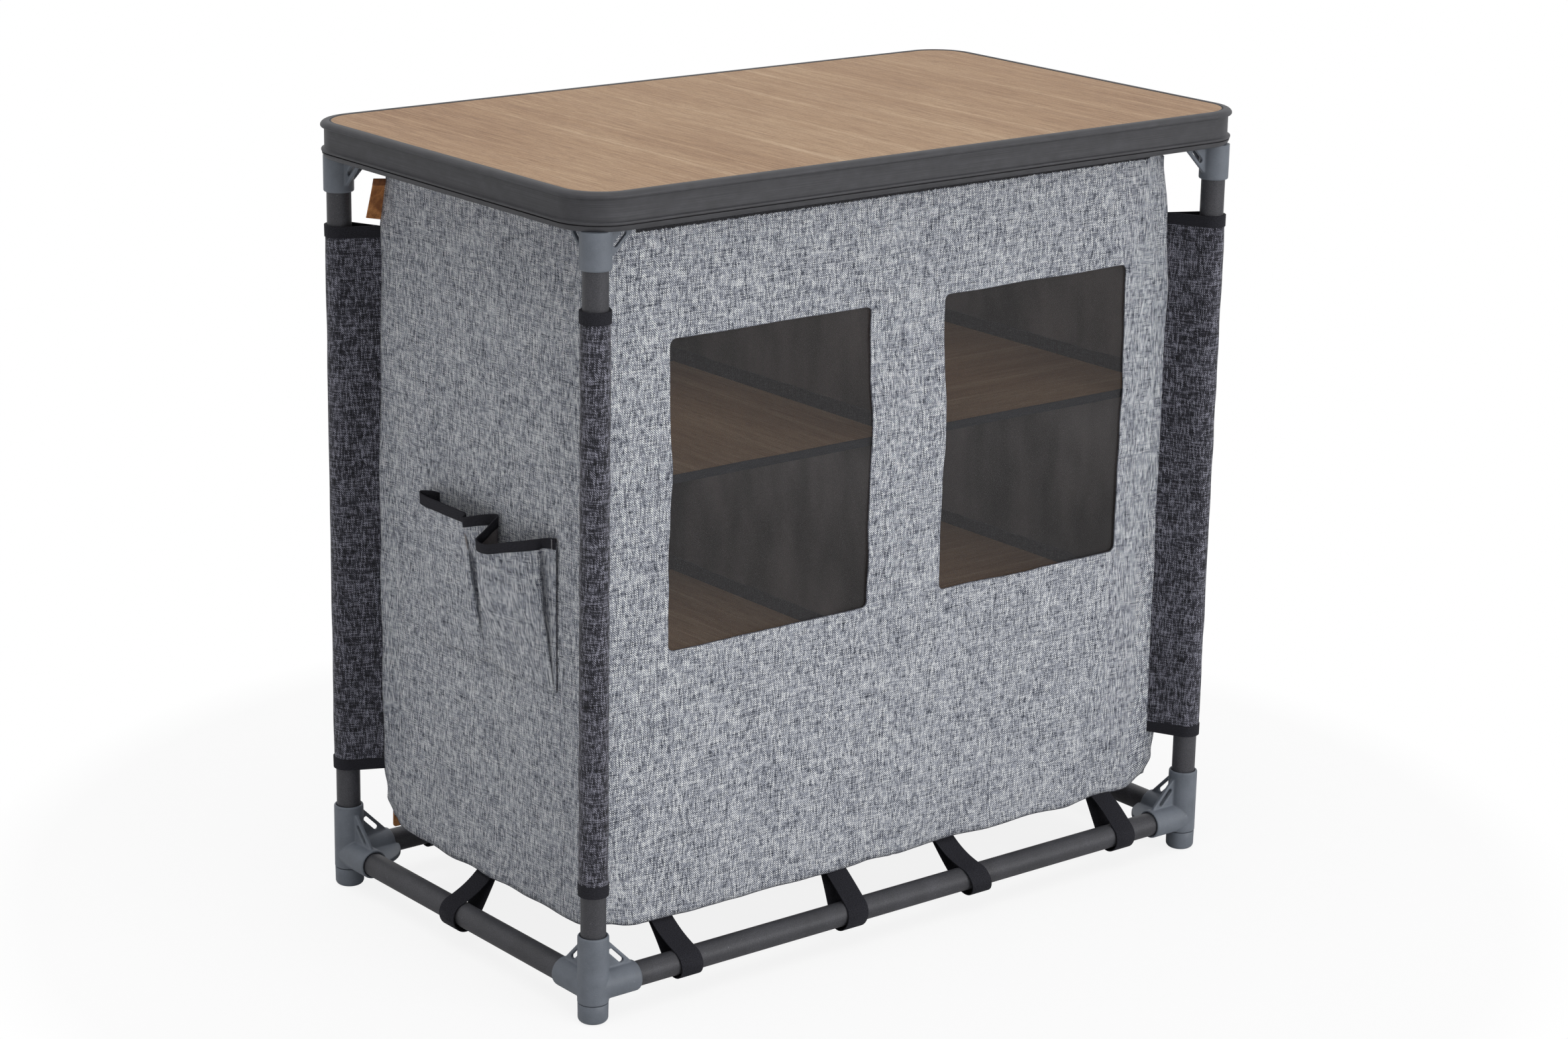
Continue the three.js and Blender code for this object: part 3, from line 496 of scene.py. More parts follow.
# Foot caps: moulded plugs of the same plastic, pressed into the legs below the connectors. Each has
# a rounded edge and a shallow recess in its underside.
def arc_points(middle, radius, start, end, steps):
    """Points on a circle, from the start angle to the end angle in degrees."""
    return [(middle[0] + radius * np.cos(a), middle[1] + radius * np.sin(a))
            for a in np.radians(np.linspace(start, end, steps + 1))]


foot = lathe([
    (5, 0.6), (8.5, 0.6), (9, 0), *arc_points((9.8, 5.2), 5.2, -90, 0, 8), (15.05, 12),
    (15.2, 19.5), (14.8, 20), (11, 20), (11, 31), (10.4, 32), (5, 32),
], 64, False, True)
for name, signs in corners.items():
    piece(f"foot_{name}", moved(foot, at_leg(*signs)), moulding, f"foot_cap_{name}")


# Table top rim: one aluminium section, drawn and anodised dark grey, bent round the board: a round
# bead, a flat, a second bead, a groove and a lip outside, and a ledge for the board inside.
half_x, half_y, corner_radius = 425, 245, 50

rim_finish = Finish("dark_anodised_rim")
run = rim_finish.run()
lines = rim_finish.noise(run, (9, 2600, 1), 2, 0.6)
cloud = rim_finish.noise(run, (60, 90, 1), 3)
drawn_lines = 0.7 * lines + 0.3 * cloud
rim_finish.cover({
    "Base Color": rim_finish.ramp(
        drawn_lines, (0.3, 56, 56, 58), (0.5, 68, 68, 71), (0.7, 84, 84, 88)),
    "Metallic": 0.1,
    "Specular IOR Level": 0.25,
    "Roughness": 0.42 + 0.25 * drawn_lines,
    "Normal": rim_finish.bump(lines, 0.0001, 0.5),
})


def round_rectangle(middle_x, middle_y, steps, straight=1):
    """Corner middles and outward directions along a rounded rectangle, anticlockwise from the +X
    side, with the straight runs between the corners split into a number of lengths."""
    middles, directions = [], []
    signs = [(1, -1), (1, 1), (-1, 1), (-1, -1)]
    for corner in range(4):
        angle = (corner - 1 + np.linspace(0, 1, steps + 1)) * np.pi / 2
        start, end = np.array([signs[corner], signs[(corner + 1) % 4]]) * [middle_x, middle_y]
        middles.append(np.broadcast_to(start, (steps + 1, 2)))
        directions.append(stacked(np.cos(angle), np.sin(angle)))
        share = np.linspace(0, 1, straight + 1)[1:-1, None]
        middles.append((1 - share) * start + share * end)
        directions.append(np.broadcast_to(directions[-1][-1], (straight - 1, 2)))
    return np.concatenate(middles), np.concatenate(directions)


def round_the_top(section, lids=False, wrap=True):
    """Pairs of inset from the table top's outline and height, carried round the table top."""
    section = np.array(section, float)
    middles, directions = round_rectangle(half_x - corner_radius, half_y - corner_radius, 28, 12)
    plan = middles + (corner_radius - section[:, 0])[:, None, None] * directions
    points = stacked(plan[..., 0], plan[..., 1], section[:, 1:])
    along = lengths(middles + corner_radius * directions, True)
    return grid(points, stacked(along, lengths(section, True)[:, None]), wrap, True, lids)


piece("rim_section", round_the_top([
    (6.8, 820), (5, 819.9), (3.4, 819.5), (2, 818.8), (0.9, 817.8), (0.25, 816.8), (0, 815.8),
    (0.15, 814.9), (0.6, 814.2), (1.4, 813.7), (3.2, 813.5), (3.7, 813.2), (3.8, 812.6),
    (3.8, 804), (3.8, 793.6), (3.7, 793), (3.2, 792.6), (1.6, 792.3), (0.9, 791.9), (0.7, 791.3),
    (0.7, 790.6), (0.9, 790), (1.6, 789.7), (4, 789.6), (4, 788.8), (1.7, 788.6), (1.5, 788.2),
    (1.9, 786.8), (2.8, 785.2), (3.8, 783.9), (4.9, 783.2), (5.4, 783.4), (5.4, 805.5),
    (21, 805.5), (21, 809.5), (9.7, 809.5), (9.7, 819.4), (9.2, 820),
]), rim_finish, "table_rim", "tabletop")


# Table top board: a board faced with an oak laminate, its grain across the table. It lies on the
# ledge inside the rim, with a thin black band round its edge that paints the shadow in the gap
# between board and rim.
def oak(name, crossing, tint=0):
    """An oak laminate in object coordinates: broad bands, fine streaks and short dark pores, all
    stretched along the grain. Of the three axes, those that cross the grain are marked with 1."""
    wood = Finish(name)
    here = wood.here()

    def grain(across, along, *look):
        return wood.noise(here, tuple(across if crosses else along for crosses in crossing), *look)

    streaks, pale = grain(300, 9, 2, 0.7), grain(85, 1.5, 1).above(0.6, 5)
    pores = grain(1100, 60, 1).above(0.57, 7)
    tone = (0.2 * grain(26, 1.1, 2, 0.55) + 0.22 * streaks + 0.28 * grain(900, 22, 1, 0.6)
            + 0.18 * wood.noise(here, 520, 2, 0.6) + 0.12 * grain(6, 3) + 0.1 * pale)
    colour = wood.ramp(tone, *[
        (position, red + tint, green + tint, blue + tint) for position, red, green, blue in
        ((0.38, 130, 97, 67), (0.47, 160, 127, 97), (0.54, 173, 142, 111), (0.65, 200, 172, 142))
    ])
    return wood.cover({
        "Base Color": wood.blend(0.5 * pores, colour, (104, 74, 50)),
        "Roughness": 0.5 + 0.2 * streaks,
        "Specular IOR Level": 0.35,
        "Normal": wood.bump(streaks - 0.6 * pores, 0.0001, 0.35),
    })


def speckled(name, scale, dark, light, roughness):
    """A dull finish with fine specks between two stops of a position and a colour."""
    finish = Finish(name)
    specks = finish.noise(finish.here(), scale)
    return finish.cover({"Base Color": finish.ramp(specks, dark, light), "Roughness": roughness})


oak_across = oak("oak_grain_across", (1, 0, 1))
oak_along = oak("oak_grain_along", (0, 1, 1), -14)
board = round_the_top([(11, 809.8), (11, 819.5), (11.1, 819.6), (14, 819.6)], True, False)
piece("oak_board", board, oak_across, "table_board", "tabletop")
# Painted shadow: a thin black band round the board's edge stands for the gap between board and rim.
gap_shadow_band = speckled("black_gap_shadow_band", 300, (0.4, 20, 20, 21), (0.6, 34, 34, 35), 0.5)
piece("board_gap_shadow_band", round_the_top([
    (11, 809.8), (10.2, 809.8), (10, 810), (10, 819.3), (10.3, 819.6), (11, 819.6),
]), gap_shadow_band, (), "tabletop")


# Upper connectors: mouldings screwed under the ledge inside the rim, with a collar for the leg and
# two slotted gussets that reach up behind the rim.
gusset = slotted_plate(
    [(14, 753), (15.5, 753), (45.5, 783), (45.5, 803), (14, 803)], (26.19, 772.31), np.pi / 4, 7)
rim_corner = (22, 26)
plate = [*arc_points(rim_corner, 45.2, 180, 270, 20), (52, -19.2), (52, 52), (-23.2, 52)]
points, faces, uv = moulded(join(
    lathe([(0.4, 780), (12.8, 780), (12.8, 746.9), (13.5, 746), (14.7, 746), (15.5, 747),
           (15.5, 805), (0.4, 805)], 72, False, True),
    gusset, quarter_turned(gusset), flat_prism(plate, 801.2, 805.2),
))
outwards = np.minimum(points[:, :2] - rim_corner, 0)
beyond = np.maximum(np.linalg.norm(outwards, axis=1) / 44.4, 1)
points[:, :2] += np.where(points[:, 2] > 783, 1 / beyond - 1, 0)[:, None] * outwards
for name, signs in corners.items():
    piece(f"top_connector_{name}", at_corner((points, faces, uv), *signs), moulding,
          f"upper_connector_{name}", "tabletop")


# Rear wall: one panel of melange cloth, coated dark inside, with two windows cut out of it. It is
# sewn to its neighbours at the corners and to the divider in the middle, and hangs in soft folds.
half_length, half_depth, cabinet_top, hem_low = 368, 192, 776, 73
window_inner, window_outer, window_low, window_high = 51, 296, 348, 660


def melange(name, dark, middle, light, groove_shade):
    """A melange twill: each yarn has its own tone, which drifts along it, warp and weft show by
    turns in diagonal lines, and painted shade darkens the grooves between the lines by the share
    given."""
    cloth = Finish(name)
    run = cloth.run()
    across, upwards = cloth.node("SeparateXYZ", {0: run}, (0, 1))
    wander = 0.0012 * cloth.noise(run, (40, 40, 1), 1)
    yarn_pitch, line_pitch = 0.00095, 0.00222

    def yarns(along, beside, first, drift):
        """The tone of the yarns that run along the first coordinate, numbered from the first."""
        number = (beside + wander) * (1 / yarn_pitch)
        number = number.math("FLOOR", number) + first
        own = cloth.node("TexWhiteNoise", {"W": number}, noise_dimensions="1D")
        place = cloth.node("CombineXYZ", {0: along * drift, 1: own * 350})
        return cloth.noise(place, 1, 2, 0.6)

    weft, warp = yarns(across, upwards, 0, 55), yarns(upwards, across, 5000, 100)
    wave = ((across + upwards) * (2 * np.pi / line_pitch)).sine()
    twill = (0.5 + 0.9 * wave).held()
    patch = cloth.noise(run, (60, 14, 1), 2, 0.6)
    fleck = twill * warp + (1 - twill) * weft + 0.05 * (patch - 0.5)
    colour = cloth.ramp(fleck, (0.375, *dark), (0.5, *middle), (0.61, *light))
    # Painted shade: the base colour darkens towards the dark tone in the grooves between the twill
    # lines.
    return cloth.cover({
        "Base Color": cloth.blend(groove_shade * (0.35 - 0.9 * wave).held(), colour, dark),
        "Roughness": 0.92,
        "Specular IOR Level": 0.2,
        "Sheen Weight": 0.12,
        "Normal": cloth.bump(fleck + 0.15 * wave, 0.0008, 0.7),
    })


# The last number is the share of painted shade in the twill grooves.
light_cloth = melange("light_melange", (56, 60, 70), (178, 182, 193), (252, 254, 255), 0.7)

lining = Finish("coated_lining")
here = lining.here()
fold_relief_and_shade = lining.noise(here, (15, 15, 7), 2, 0.45)
# Painted shade of the folds: the base colour is darker in their hollows and lighter on their
# crests; the same pattern also gives the bump.
lining.cover({
    "Base Color": lining.ramp(
        0.8 * fold_relief_and_shade + 0.2 * lining.noise(here, 1200, 1), (0.36, 62, 58, 58), (0.64, 142, 136, 137)),
    "Roughness": 0.5 + 0.2 * fold_relief_and_shade,
    "Normal": lining.bump(fold_relief_and_shade, 0.012, 0.6),
})


def stations(breaks, pitches):
    """Grid lines from the first break to the last: equal steps of about its pitch in a stretch."""
    stretches = zip(breaks, breaks[1:], pitches)
    return np.concatenate([
        *[np.linspace(a, b, max(1, round((b - a) / pitch)) + 1)[:-1] for a, b, pitch in stretches],
        breaks[-1:],
    ])


def ease(share):
    """0 below 0, 1 above 1 and a smooth step between."""
    held = np.clip(share, 0, 1)
    return held * held * (3 - 2 * held)


def hump(distance, reach):
    """A bell curve, 1 at no distance and 0.37 at the reach."""
    return np.exp(-(distance / reach) ** 2)


def ripple(a, b, length, seed):
    """Soft unevenness between about -1 and 1 over two coordinates: seven sine waves, with lengths
    round the given one, that run at seeded angles."""
    waves = np.random.default_rng(seed).random((7, 3))
    return sum(
        np.sin(2 * np.pi * (a * np.cos(turn * np.pi) + b * np.sin(turn * np.pi))
               / (length * (0.7 + 0.9 * stretch)) + 6.28 * shift)
        for turn, stretch, shift in waves
    ) / 4


def drawn_in(x, y, z, reach_x=30):
    """Points of the cloth moved inwards near the cabinet's upright edges: by 6 mm at the top,
    nothing beside the sleeves and 6 mm at the hem, with 2.5 mm less just above it, and by a
    millimetre of waviness all the way. The front left edge bulges by 3 mm. The rear right edge
    drops by 8 mm at its top, leans in above the middle of the cabinet and out below it."""
    draw = 6 * ease((z - 700) / 65) + 6 * ease((132 - z) / 59) - 2.5 * hump(z - 98, 9)
    wave = ripple(z, 90 * np.sign(x) + 200 * np.sign(y), 110, 13)
    bulge = 3 * ease((z - 110) / 40) * ease((600 - z) / 120) * (x < 0) * (y > 0)
    near_x = ease((np.abs(x) - half_length + reach_x) / reach_x)
    near = near_x * ease((np.abs(y) - half_depth + 30) / 30)
    draw = (draw + 1.1 * wave - bulge) * near
    rear_right = near * (x > 0) * (y < 0)
    drop = 8 * ease((z - 748) / 28) * near * rear_right
    heights, leans = zip((100, 9), (180, 8), (295, 8.5), (370, 5.5), (440, 2.5), (515, 2.5),
                         (590, 0), (660, -5), (700, -6), (776, -3))
    lean = rear_right * np.interp(z, heights, leans)
    return stacked(x - np.sign(x) * draw + lean, y - np.sign(y) * draw, z - drop)


def cloth_piece(name, shape, replaced, body="cabinet", finishes=None,
                thickness=1.2, inwards=True):
    """A piece of cloth: the outer face is modelled, and its thickness goes inwards, or to both
    sides."""
    made = piece(name, shape, finishes or [light_cloth, lining], replaced, body)
    wall = made.modifiers.new("thickness", "SOLIDIFY")
    wall.thickness, wall.offset = thickness / 1000, -1 if inwards else 0
    wall.material_offset = len(made.data.materials) - 1
    return made


def near_hem(z, reach):
    """1 at the hem, 0 from the reach above it on and a smooth step between."""
    return 1 - ease((z - hem_low) / reach)


def hung(z, from_corner):
    """Heights of a wall's grid, with the lowest 120 mm moved up to the hem's line, which rises by
    8 mm over the last 42 mm before a corner."""
    return z + 8 * (1 - ease(from_corner / 42)) * near_hem(z, 120)


def hem_fold(z):
    """The cloth is half a millimetre thicker over the lowest 9 mm, where it is folded."""
    return 0.5 * near_hem(z - 9, 3)


def rear_surface(x, z):
    """The rear wall's flat coordinates and its points in space. The rounded window corners come
    from moving what lies in a corner's square on to the quarter circle inside it, less and less
    towards 2.5 radii away. The cloth is sewn in a few millimetres to the right, and its window
    edges are pushed a little further beside the upper shelf. It stands out in vertical folds below
    the windows, in soft waves all over, and in a ridge and a groove beside the divider's seam."""
    middle_x, middle_z = (window_inner + window_outer) / 2, (window_low + window_high) / 2
    radius = 7.0
    outwards = np.sign(np.abs(x) - middle_x)
    from_x = np.abs(np.abs(x) - middle_x) - ((window_outer - window_inner) / 2 - radius)
    from_z = np.abs(z - middle_z) - ((window_high - window_low) / 2 - radius)
    square = np.maximum(from_x, from_z)
    pull = np.where((from_x > 0) & (from_z > 0), 1 - ease((square / radius - 1) / 1.5), 0)
    shrink = pull * (1 - square / np.maximum(np.hypot(from_x, from_z), 1e-6))
    aside = np.interp(x, [-368, -296, -51, 51, 296, 368], [0, 7.5, 10, 4, 8.5, 0])
    aside = aside + 4.5 * hump(x, 100) * ease((615 - z) / 70)
    near = hump(from_x - radius, 28) * ease((half_length - np.abs(x)) / 40)
    pushed = near * (3.4 * hump(z - 528, 45) + 0.9 * ripple(x * 0.3, z, 70, 5))
    flat_x = x - np.sign(x) * outwards * shrink * from_x
    flat_z = z - np.sign(z - middle_z) * shrink * from_z
    from_top = cabinet_top - z
    flat_z = flat_z + (0.8 * ripple(x, z * 0.3, 130, 6) * ease((z - hem_low) / 60)
                       * ease(from_top / 60))
    below = ease((window_low - z) / (window_low - hem_low))
    inside = ease((half_length - np.abs(x)) / 122)
    relief = 4 * below * inside * (1 + np.cos(2 * np.pi * x / 122)) / 2
    relief = relief + 1.1 * ripple(x, z * 0.35, 110, 3) * ease(from_top / 90) * inside
    relief = relief + 0.45 * ripple(x * 1.2, z, 34, 4) * ease(from_top / 60) * inside
    relief = relief + 0.6 * hump(x + 16, 4) - 0.9 * hump(x + 8, 2.2)
    relief = relief + hem_fold(z) + 1.6 * below * ripple(x, z * 0.2, 75, 8) * inside
    hanging = hung(flat_z, half_length - np.abs(x))
    hanging = hanging + 1.2 * ripple(x, 0 * x, 60, 9) * near_hem(z, 60)
    return stacked(flat_x, flat_z), drawn_in(flat_x + aside + pushed, -half_depth - relief, hanging)


def cord_along(path, radius, closed=False):
    """A round cord along a path: at each point a circle square to the path's direction."""
    path = np.asarray(path, float)
    tangent = np.roll(path, -1, 0) - np.roll(path, 1, 0)
    if not closed:
        tangent[0], tangent[-1] = path[1] - path[0], path[-1] - path[-2]
    tangent /= np.linalg.norm(tangent, axis=1, keepdims=True)
    aside = np.cross(tangent, [0.31, 0.57, 0.76])
    aside /= np.linalg.norm(aside, axis=1, keepdims=True)
    angle = np.arange(7)[:, None] * 2 * np.pi / 7
    ring = (path[:, None] + radius * np.cos(angle) * aside[:, None]
            + radius * np.sin(angle) * np.cross(tangent, aside)[:, None])
    around = np.linspace(0, 2 * np.pi * radius, 8)
    return grid(ring, stacked(lengths(path, True)[:, None], around), closed, True, not closed)


def middles(lines):
    """The middle of each cell between grid lines."""
    return (lines[1:] + lines[:-1]) / 2


def between(values, low, high):
    """True where a value lies between low and high."""
    return (values > low) & (values < high)


close_up = 14
breaks = [window_inner - close_up, window_inner + close_up,
          window_outer - close_up, window_outer + close_up, half_length]
x_lines = stations([-x for x in breaks[::-1]] + breaks, [4, 1.75, 5, 1.75, 4, 1.75, 5, 1.75, 4])
z_lines = stations([hem_low, window_low - close_up, window_low + close_up,
                    window_high - close_up, window_high + close_up, cabinet_top],
                   [4.5, 1.75, 5, 1.75, 4])
flat, points = rear_surface(*np.meshgrid(x_lines, z_lines))
windows = (between(middles(z_lines), window_low, window_high)[:, None]
           & between(np.abs(middles(x_lines)), window_inner, window_outer))
rear = cloth_piece("rear_cloth", grid(points, flat, kept=~windows), "rear_wall")

thread_finish = speckled(
    "dark_overlock_thread", 700, (0.38, 34, 34, 40), (0.62, 96, 98, 108), 0.9)
piece("hem_overlock_rear", cord_along(points[0] + [0, 0.6, -0.1], 0.75), thread_finish)
across = stations([window_inner, window_outer], [1.8])
upwards = stations([window_low, window_high], [1.8])
ones_x, ones_z = np.ones(len(across)), np.ones(len(upwards) - 2)
x = np.concatenate([across, window_outer * ones_z, across[::-1], window_inner * ones_z])
z = np.concatenate([window_low * ones_x, upwards[1:-1], window_high * ones_x, upwards[-2:0:-1]])
for name, sign in sides:
    _, edge = rear_surface(sign * x, z)
    piece(f"window_overlock_{name}", cord_along(edge + [0, 0.7, 0], 0.7, True), thread_finish)


# Window mesh: black see-through netting sewn behind each window, slightly slack, and knitted in
# diamonds 1.3 mm across.
netting = Finish("black_netting")
across, upwards = netting.node("SeparateXYZ", {0: netting.run()}, (0, 1))
hole_pitch = 0.0013
one = ((across + upwards) * (np.pi / hole_pitch)).sine()
other = ((across - upwards) * (np.pi / hole_pitch)).sine()
holes = (2.6 * one * one * other * other - 0.12).held()
netting.cover({"Base Color": shade(40, 39, 40), "Roughness": 0.75, "Alpha": 1 - 0.97 * holes})
pane_half, pane_rise, pane_y, pane_moved = 134.5, 164, -189.4, 9
middle_x, middle_z = (window_inner + window_outer) / 2, (window_low + window_high) / 2
for name, sign in sides:
    x, z = np.meshgrid(np.linspace(-pane_half, pane_half, 40),
                       np.linspace(middle_z - pane_rise, middle_z + pane_rise, 48))
    slack = ease((pane_half - np.abs(x)) / 25) * ease((pane_rise - np.abs(z - middle_z)) / 25)
    behind = pane_y + 0.5 * ripple(x, z, 90, 12 + sign) * slack
    points = stacked(x + sign * middle_x + pane_moved, behind, z)
    pane = piece(f"netting_{name}", grid(points, stacked(x, z)), netting,
                 f"window_mesh_{name}")


# Side walls: a panel of the same cloth between each pair of corner seams. Each hangs in soft waves
# and has a folded hem with an overlocked edge.
side_half = half_depth - 1.2
for name, sign in sides:
    y, z = np.meshgrid(sign * np.linspace(-side_half, side_half, 90),
                       stations([hem_low, cabinet_top], [5]))
    from_corner = half_depth - np.abs(y)
    waves = 1.3 * ripple(y, z * 0.35, 120, 20 + sign) + 1.1 * ripple(y * 1.5, z * 0.25, 70, 22)
    relief = waves * ease(from_corner / 60) * ease((cabinet_top + 20 - z) / 120) + hem_fold(z)
    hanging = hung(z, from_corner) + 1.3 * ripple(y, 0 * y, 85, 24) * near_hem(z, 60)
    points = drawn_in(sign * (half_length + relief), y, hanging)
    side = cloth_piece(f"side_cloth_{name}", grid(points, stacked(sign * y, z)),
                       f"side_wall_{name}")
    piece(f"hem_overlock_{name}", cord_along(points[0] + [-0.6 * sign, 0, -0.1], 0.75),
          thread_finish)


# Front: the cloth round the two door openings, sewn to the side walls, the divider and the floor.
# It is the same melange cloth, coated inside, and its hem is folded too.
door_low, door_high, door_inner, door_outer, zip_width = 92, 735, 14, 357, 12.6
x_lines = stations([-half_length, -door_outer, -door_inner, door_inner, door_outer, half_length],
                   [3, 6, 4, 6, 3])
z_lines = stations([hem_low, door_low, door_high, cabinet_top], [3.2, 8, 4])
x, z = np.meshgrid(-x_lines, z_lines)
hanging = np.where(z <= door_low + 0.1, hung(z, half_length - np.abs(x)), z)
points = drawn_in(x, half_depth + hem_fold(z), hanging, 11)
doorways = (between(middles(z_lines), door_low, door_high)[:, None]
            & between(np.abs(middles(x_lines)), door_inner, door_outer))
cloth_piece("front_cloth", grid(points, stacked(-x, z), kept=~doorways), "front_frame")


# Doors: a flap of the same cloth for each bay, sewn on along its top and closed by a zip down each
# side. Between the zips it waves a little.
low, high, seam_room = door_inner + zip_width, door_outer - zip_width, 0.3
for name, sign in sides:
    x, z = np.meshgrid(np.linspace(high, low, 80) if sign > 0 else np.linspace(-low, -high, 80),
                       stations([door_low + seam_room, door_high - seam_room], [5.5]))
    slack = ease((np.abs(x) - low) / 60) * ease((high - np.abs(x)) / 60)
    slack = slack * ease((door_high - 1 - z) / 80)
    relief = 1.6 * slack * ripple(x, z * 0.4, 130, 30 + sign)
    door = cloth_piece(f"door_cloth_{name}",
                       grid(stacked(x, half_depth + relief, z), stacked(-x, z)),
                       f"door_{name}", f"{name}_door")


# Zips: a woven tape with its nylon coil down both sides of each door, and a lacquered slider with a
# leather puller on each. The tapes are sewn to the front.
webbing = Finish("black_webbing")
run = webbing.run()
along, wide = webbing.node("SeparateXYZ", {0: run}, (0, 1))
ribs = (along * (2 * np.pi / 0.0016)).sine() * (wide * (2 * np.pi / 0.0022)).sine()
lint = webbing.noise(run, (900, 900, 1))
webbing.cover({
    "Base Color": webbing.ramp(
        0.5 * lint + 0.06 * ribs + 0.25, (0.38, 22, 22, 26), (0.62, 50, 50, 56)),
    "Roughness": 0.8,
    "Specular IOR Level": 0.12,
    "Normal": webbing.bump(0.5 * ribs + 0.3 * lint, 0.0002, 0.6),
})
coil_finish = speckled("black_nylon_coil", 700, (0.4, 20, 20, 22), (0.6, 36, 36, 39), 0.35)
zip_inner, zip_outer = door_inner + zip_width / 2, door_outer - zip_width / 2
zips = {
    "left_outer": (-zip_outer, -1), "left_inner": (-zip_inner, 1),
    "right_inner": (zip_inner, -1), "right_outer": (zip_outer, 1),
}
for name, (x, seam) in zips.items():
    tape = np.array([
        (-6, 190.3), (9.3, 190.3), (9.3, 191.2), (2.7, 191.2), (-2.7, 191.2), (-6, 191.2)])
    z = np.linspace(door_low, door_high, 60)[:, None]
    ring = stacked(x + seam * tape[:, 0], tape[:, 1], z)[:, ::seam]
    piece(f"zip_tape_{name}", solid_run(ring, stacked(z, 1.0 * np.arange(7))), webbing)
    z, turn = np.arange(door_low, door_high, 0.4)[:, None], np.radians(np.linspace(0, 180, 9))
    tooth = 0.72 + 0.28 * np.cos(2 * np.pi * z / 1.6)
    dome = stacked(x + 2.6 * np.cos(turn), 191.1 + 1.35 * np.sin(turn) * tooth, z)
    piece(f"zip_coil_{name}", solid_run(dome), coil_finish)

lacquer = Finish("black_lacquer")
wear = lacquer.noise(lacquer.here(), 500, 3)
lacquer.cover({
    "Base Color": lacquer.ramp(wear, (0.45, 30, 30, 33), (0.7, 72, 72, 76)),
    "Metallic": 0.5, "Roughness": 0.25 + 0.3 * wear,
})


def tanned(name, dark, middle, light):
    """Leather with a pebbled grain and stains of three shades."""
    leather = Finish(name)
    here = leather.here()
    pebble = leather.node("TexVoronoi", {"Vector": leather.spread(here, 900), "Scale": 1},
                          feature="DISTANCE_TO_EDGE")
    stain = leather.noise(here, 120, 4, 0.65)
    return leather.cover({
        "Base Color": leather.ramp(
            0.75 * stain + 0.25 * pebble, (0.3, *dark), (0.45, *middle), (0.6, *light)),
        "Roughness": 0.45 + 0.3 * stain,
        "Normal": leather.bump(pebble.math("MINIMUM", pebble, 0.25), 0.0004, 0.5),
    })


leather = tanned("tan_leather", (144, 90, 50), (190, 126, 72), (226, 164, 102))
# A darker leather for the tag's folded top.
darker_leather = tanned("darker_leather", (98, 58, 32), (134, 84, 48), (164, 108, 64))


def eased(made, width):
    """Rounds the edges of a finished piece."""
    bevel = made.modifiers.new("eased", "BEVEL")
    bevel.width, bevel.segments, bevel.limit_method = width / 1000, 3, "ANGLE"


def upright_plate(outline, near, far):
    """An outline in x and z, anticlockwise seen from the rear, given a depth in y and closed."""
    x, z = np.array(outline, float)[::-1].T
    return solid_run(np.stack([stacked(x, y, z) for y in (near, far)]))


slider_shape = join(
    upright_plate([(-2.8, 0), (2.8, 0), (4.2, 5), (4.5, 8), (4.5, 13.2), (3.6, 14), (1.6, 14),
                   (0, 12.2), (-1.6, 14), (-3.6, 14), (-4.5, 13.2), (-4.5, 8), (-4.2, 5)],
                  192.9, 196.2),
    upright_plate([(-1.7, 0), (1.7, 0), (1.7, 5), (-1.7, 5)], 195.6, 198.6),
)
puller_shape = upright_plate([
    (-6, 29.2), (-6, 3), *arc_points((-3, 3), 3, 180, 270, 5), *arc_points((3, 3), 3, -90, 0, 5),
    (6, 29.2), (5.4, 30), (-5.4, 30),
], 196.5, 198.3)
slider_low, puller_low = door_low + seam_room, 61.6
for name, (x, _) in zips.items():
    slider = piece(f"slider_{name}", moved(slider_shape, (x, 0, slider_low)), lacquer,
                   f"zip_slider_{name}", f"slider_{name}")
    eased(slider, 0.35)
    puller = piece(f"puller_{name}", moved(puller_shape, (x, 0, puller_low)), leather,
                   f"zip_puller_{name}", f"puller_{name}")
    eased(puller, 0.5)


# Cabinet floor and divider: coated cloth, sewn in along every edge. Webbing loops sewn to the floor
# hold the cabinet down to the cross tubes.
floor_x, floor_y, floor_radius, floor_low, floor_high = 365.7, 189.7, 25, 78.3, 79.8
corner_middles, directions = round_rectangle(floor_x - floor_radius, floor_y - floor_radius, 8)
outline = corner_middles + floor_radius * directions
base = piece("floor_cloth", flat_prism(outline, floor_low, floor_high), lining,
             "cabinet_floor")


def drop_line(radius, reach, steps, run):
    """A circle about the origin and the two straight sides that meet at the reach along +X: the way
    out from the tip, round the circle and home, and each point's share of a straight side."""
    tangent = np.arccos(radius / reach)
    angle = np.linspace(tangent, 2 * np.pi - tangent, steps)
    circle = radius * stacked(np.cos(angle), np.sin(angle))
    share, tip = np.linspace(0, 1, run + 1)[:-1, None], np.array([reach, 0])
    out = tip + share * (circle[0] - tip)
    home = circle[-1] + share * (tip - circle[-1])
    return out, circle, home[1:], share


def turned(points, angle):
    """Points in the plane, turned about the origin."""
    cosine, sine = np.cos(angle), np.sin(angle)
    return points @ np.array([[cosine, sine], [-sine, cosine]])


strap_reach_out, strap_reach_up = 43, 42.4


def loop(radius, bows):
    """A strap's line in its own plane, round the tube at the origin and up to a point 43 mm along
    and 42.4 mm up: an arc with a radius, which hangs so that it rests on the tube, and an outer and
    an inner run that bow away from each other by the bows."""
    reach = np.hypot(strap_reach_out, strap_reach_up)
    out, circle, home, share = drop_line(radius, reach, 28, 15)
    bow = np.sin(np.pi * share) * [0.3, 1]
    line = np.concatenate([
        out + bows[0] * bow, circle, home + bows[1] * bow[1:] * [1, -1],
    ])
    sag = (radius - tube_radius) * np.clip(1 - line[:, :1] / reach, 0, 1) * [0, -1]
    return turned(line, np.arctan2(strap_reach_up, strap_reach_out)) + sag


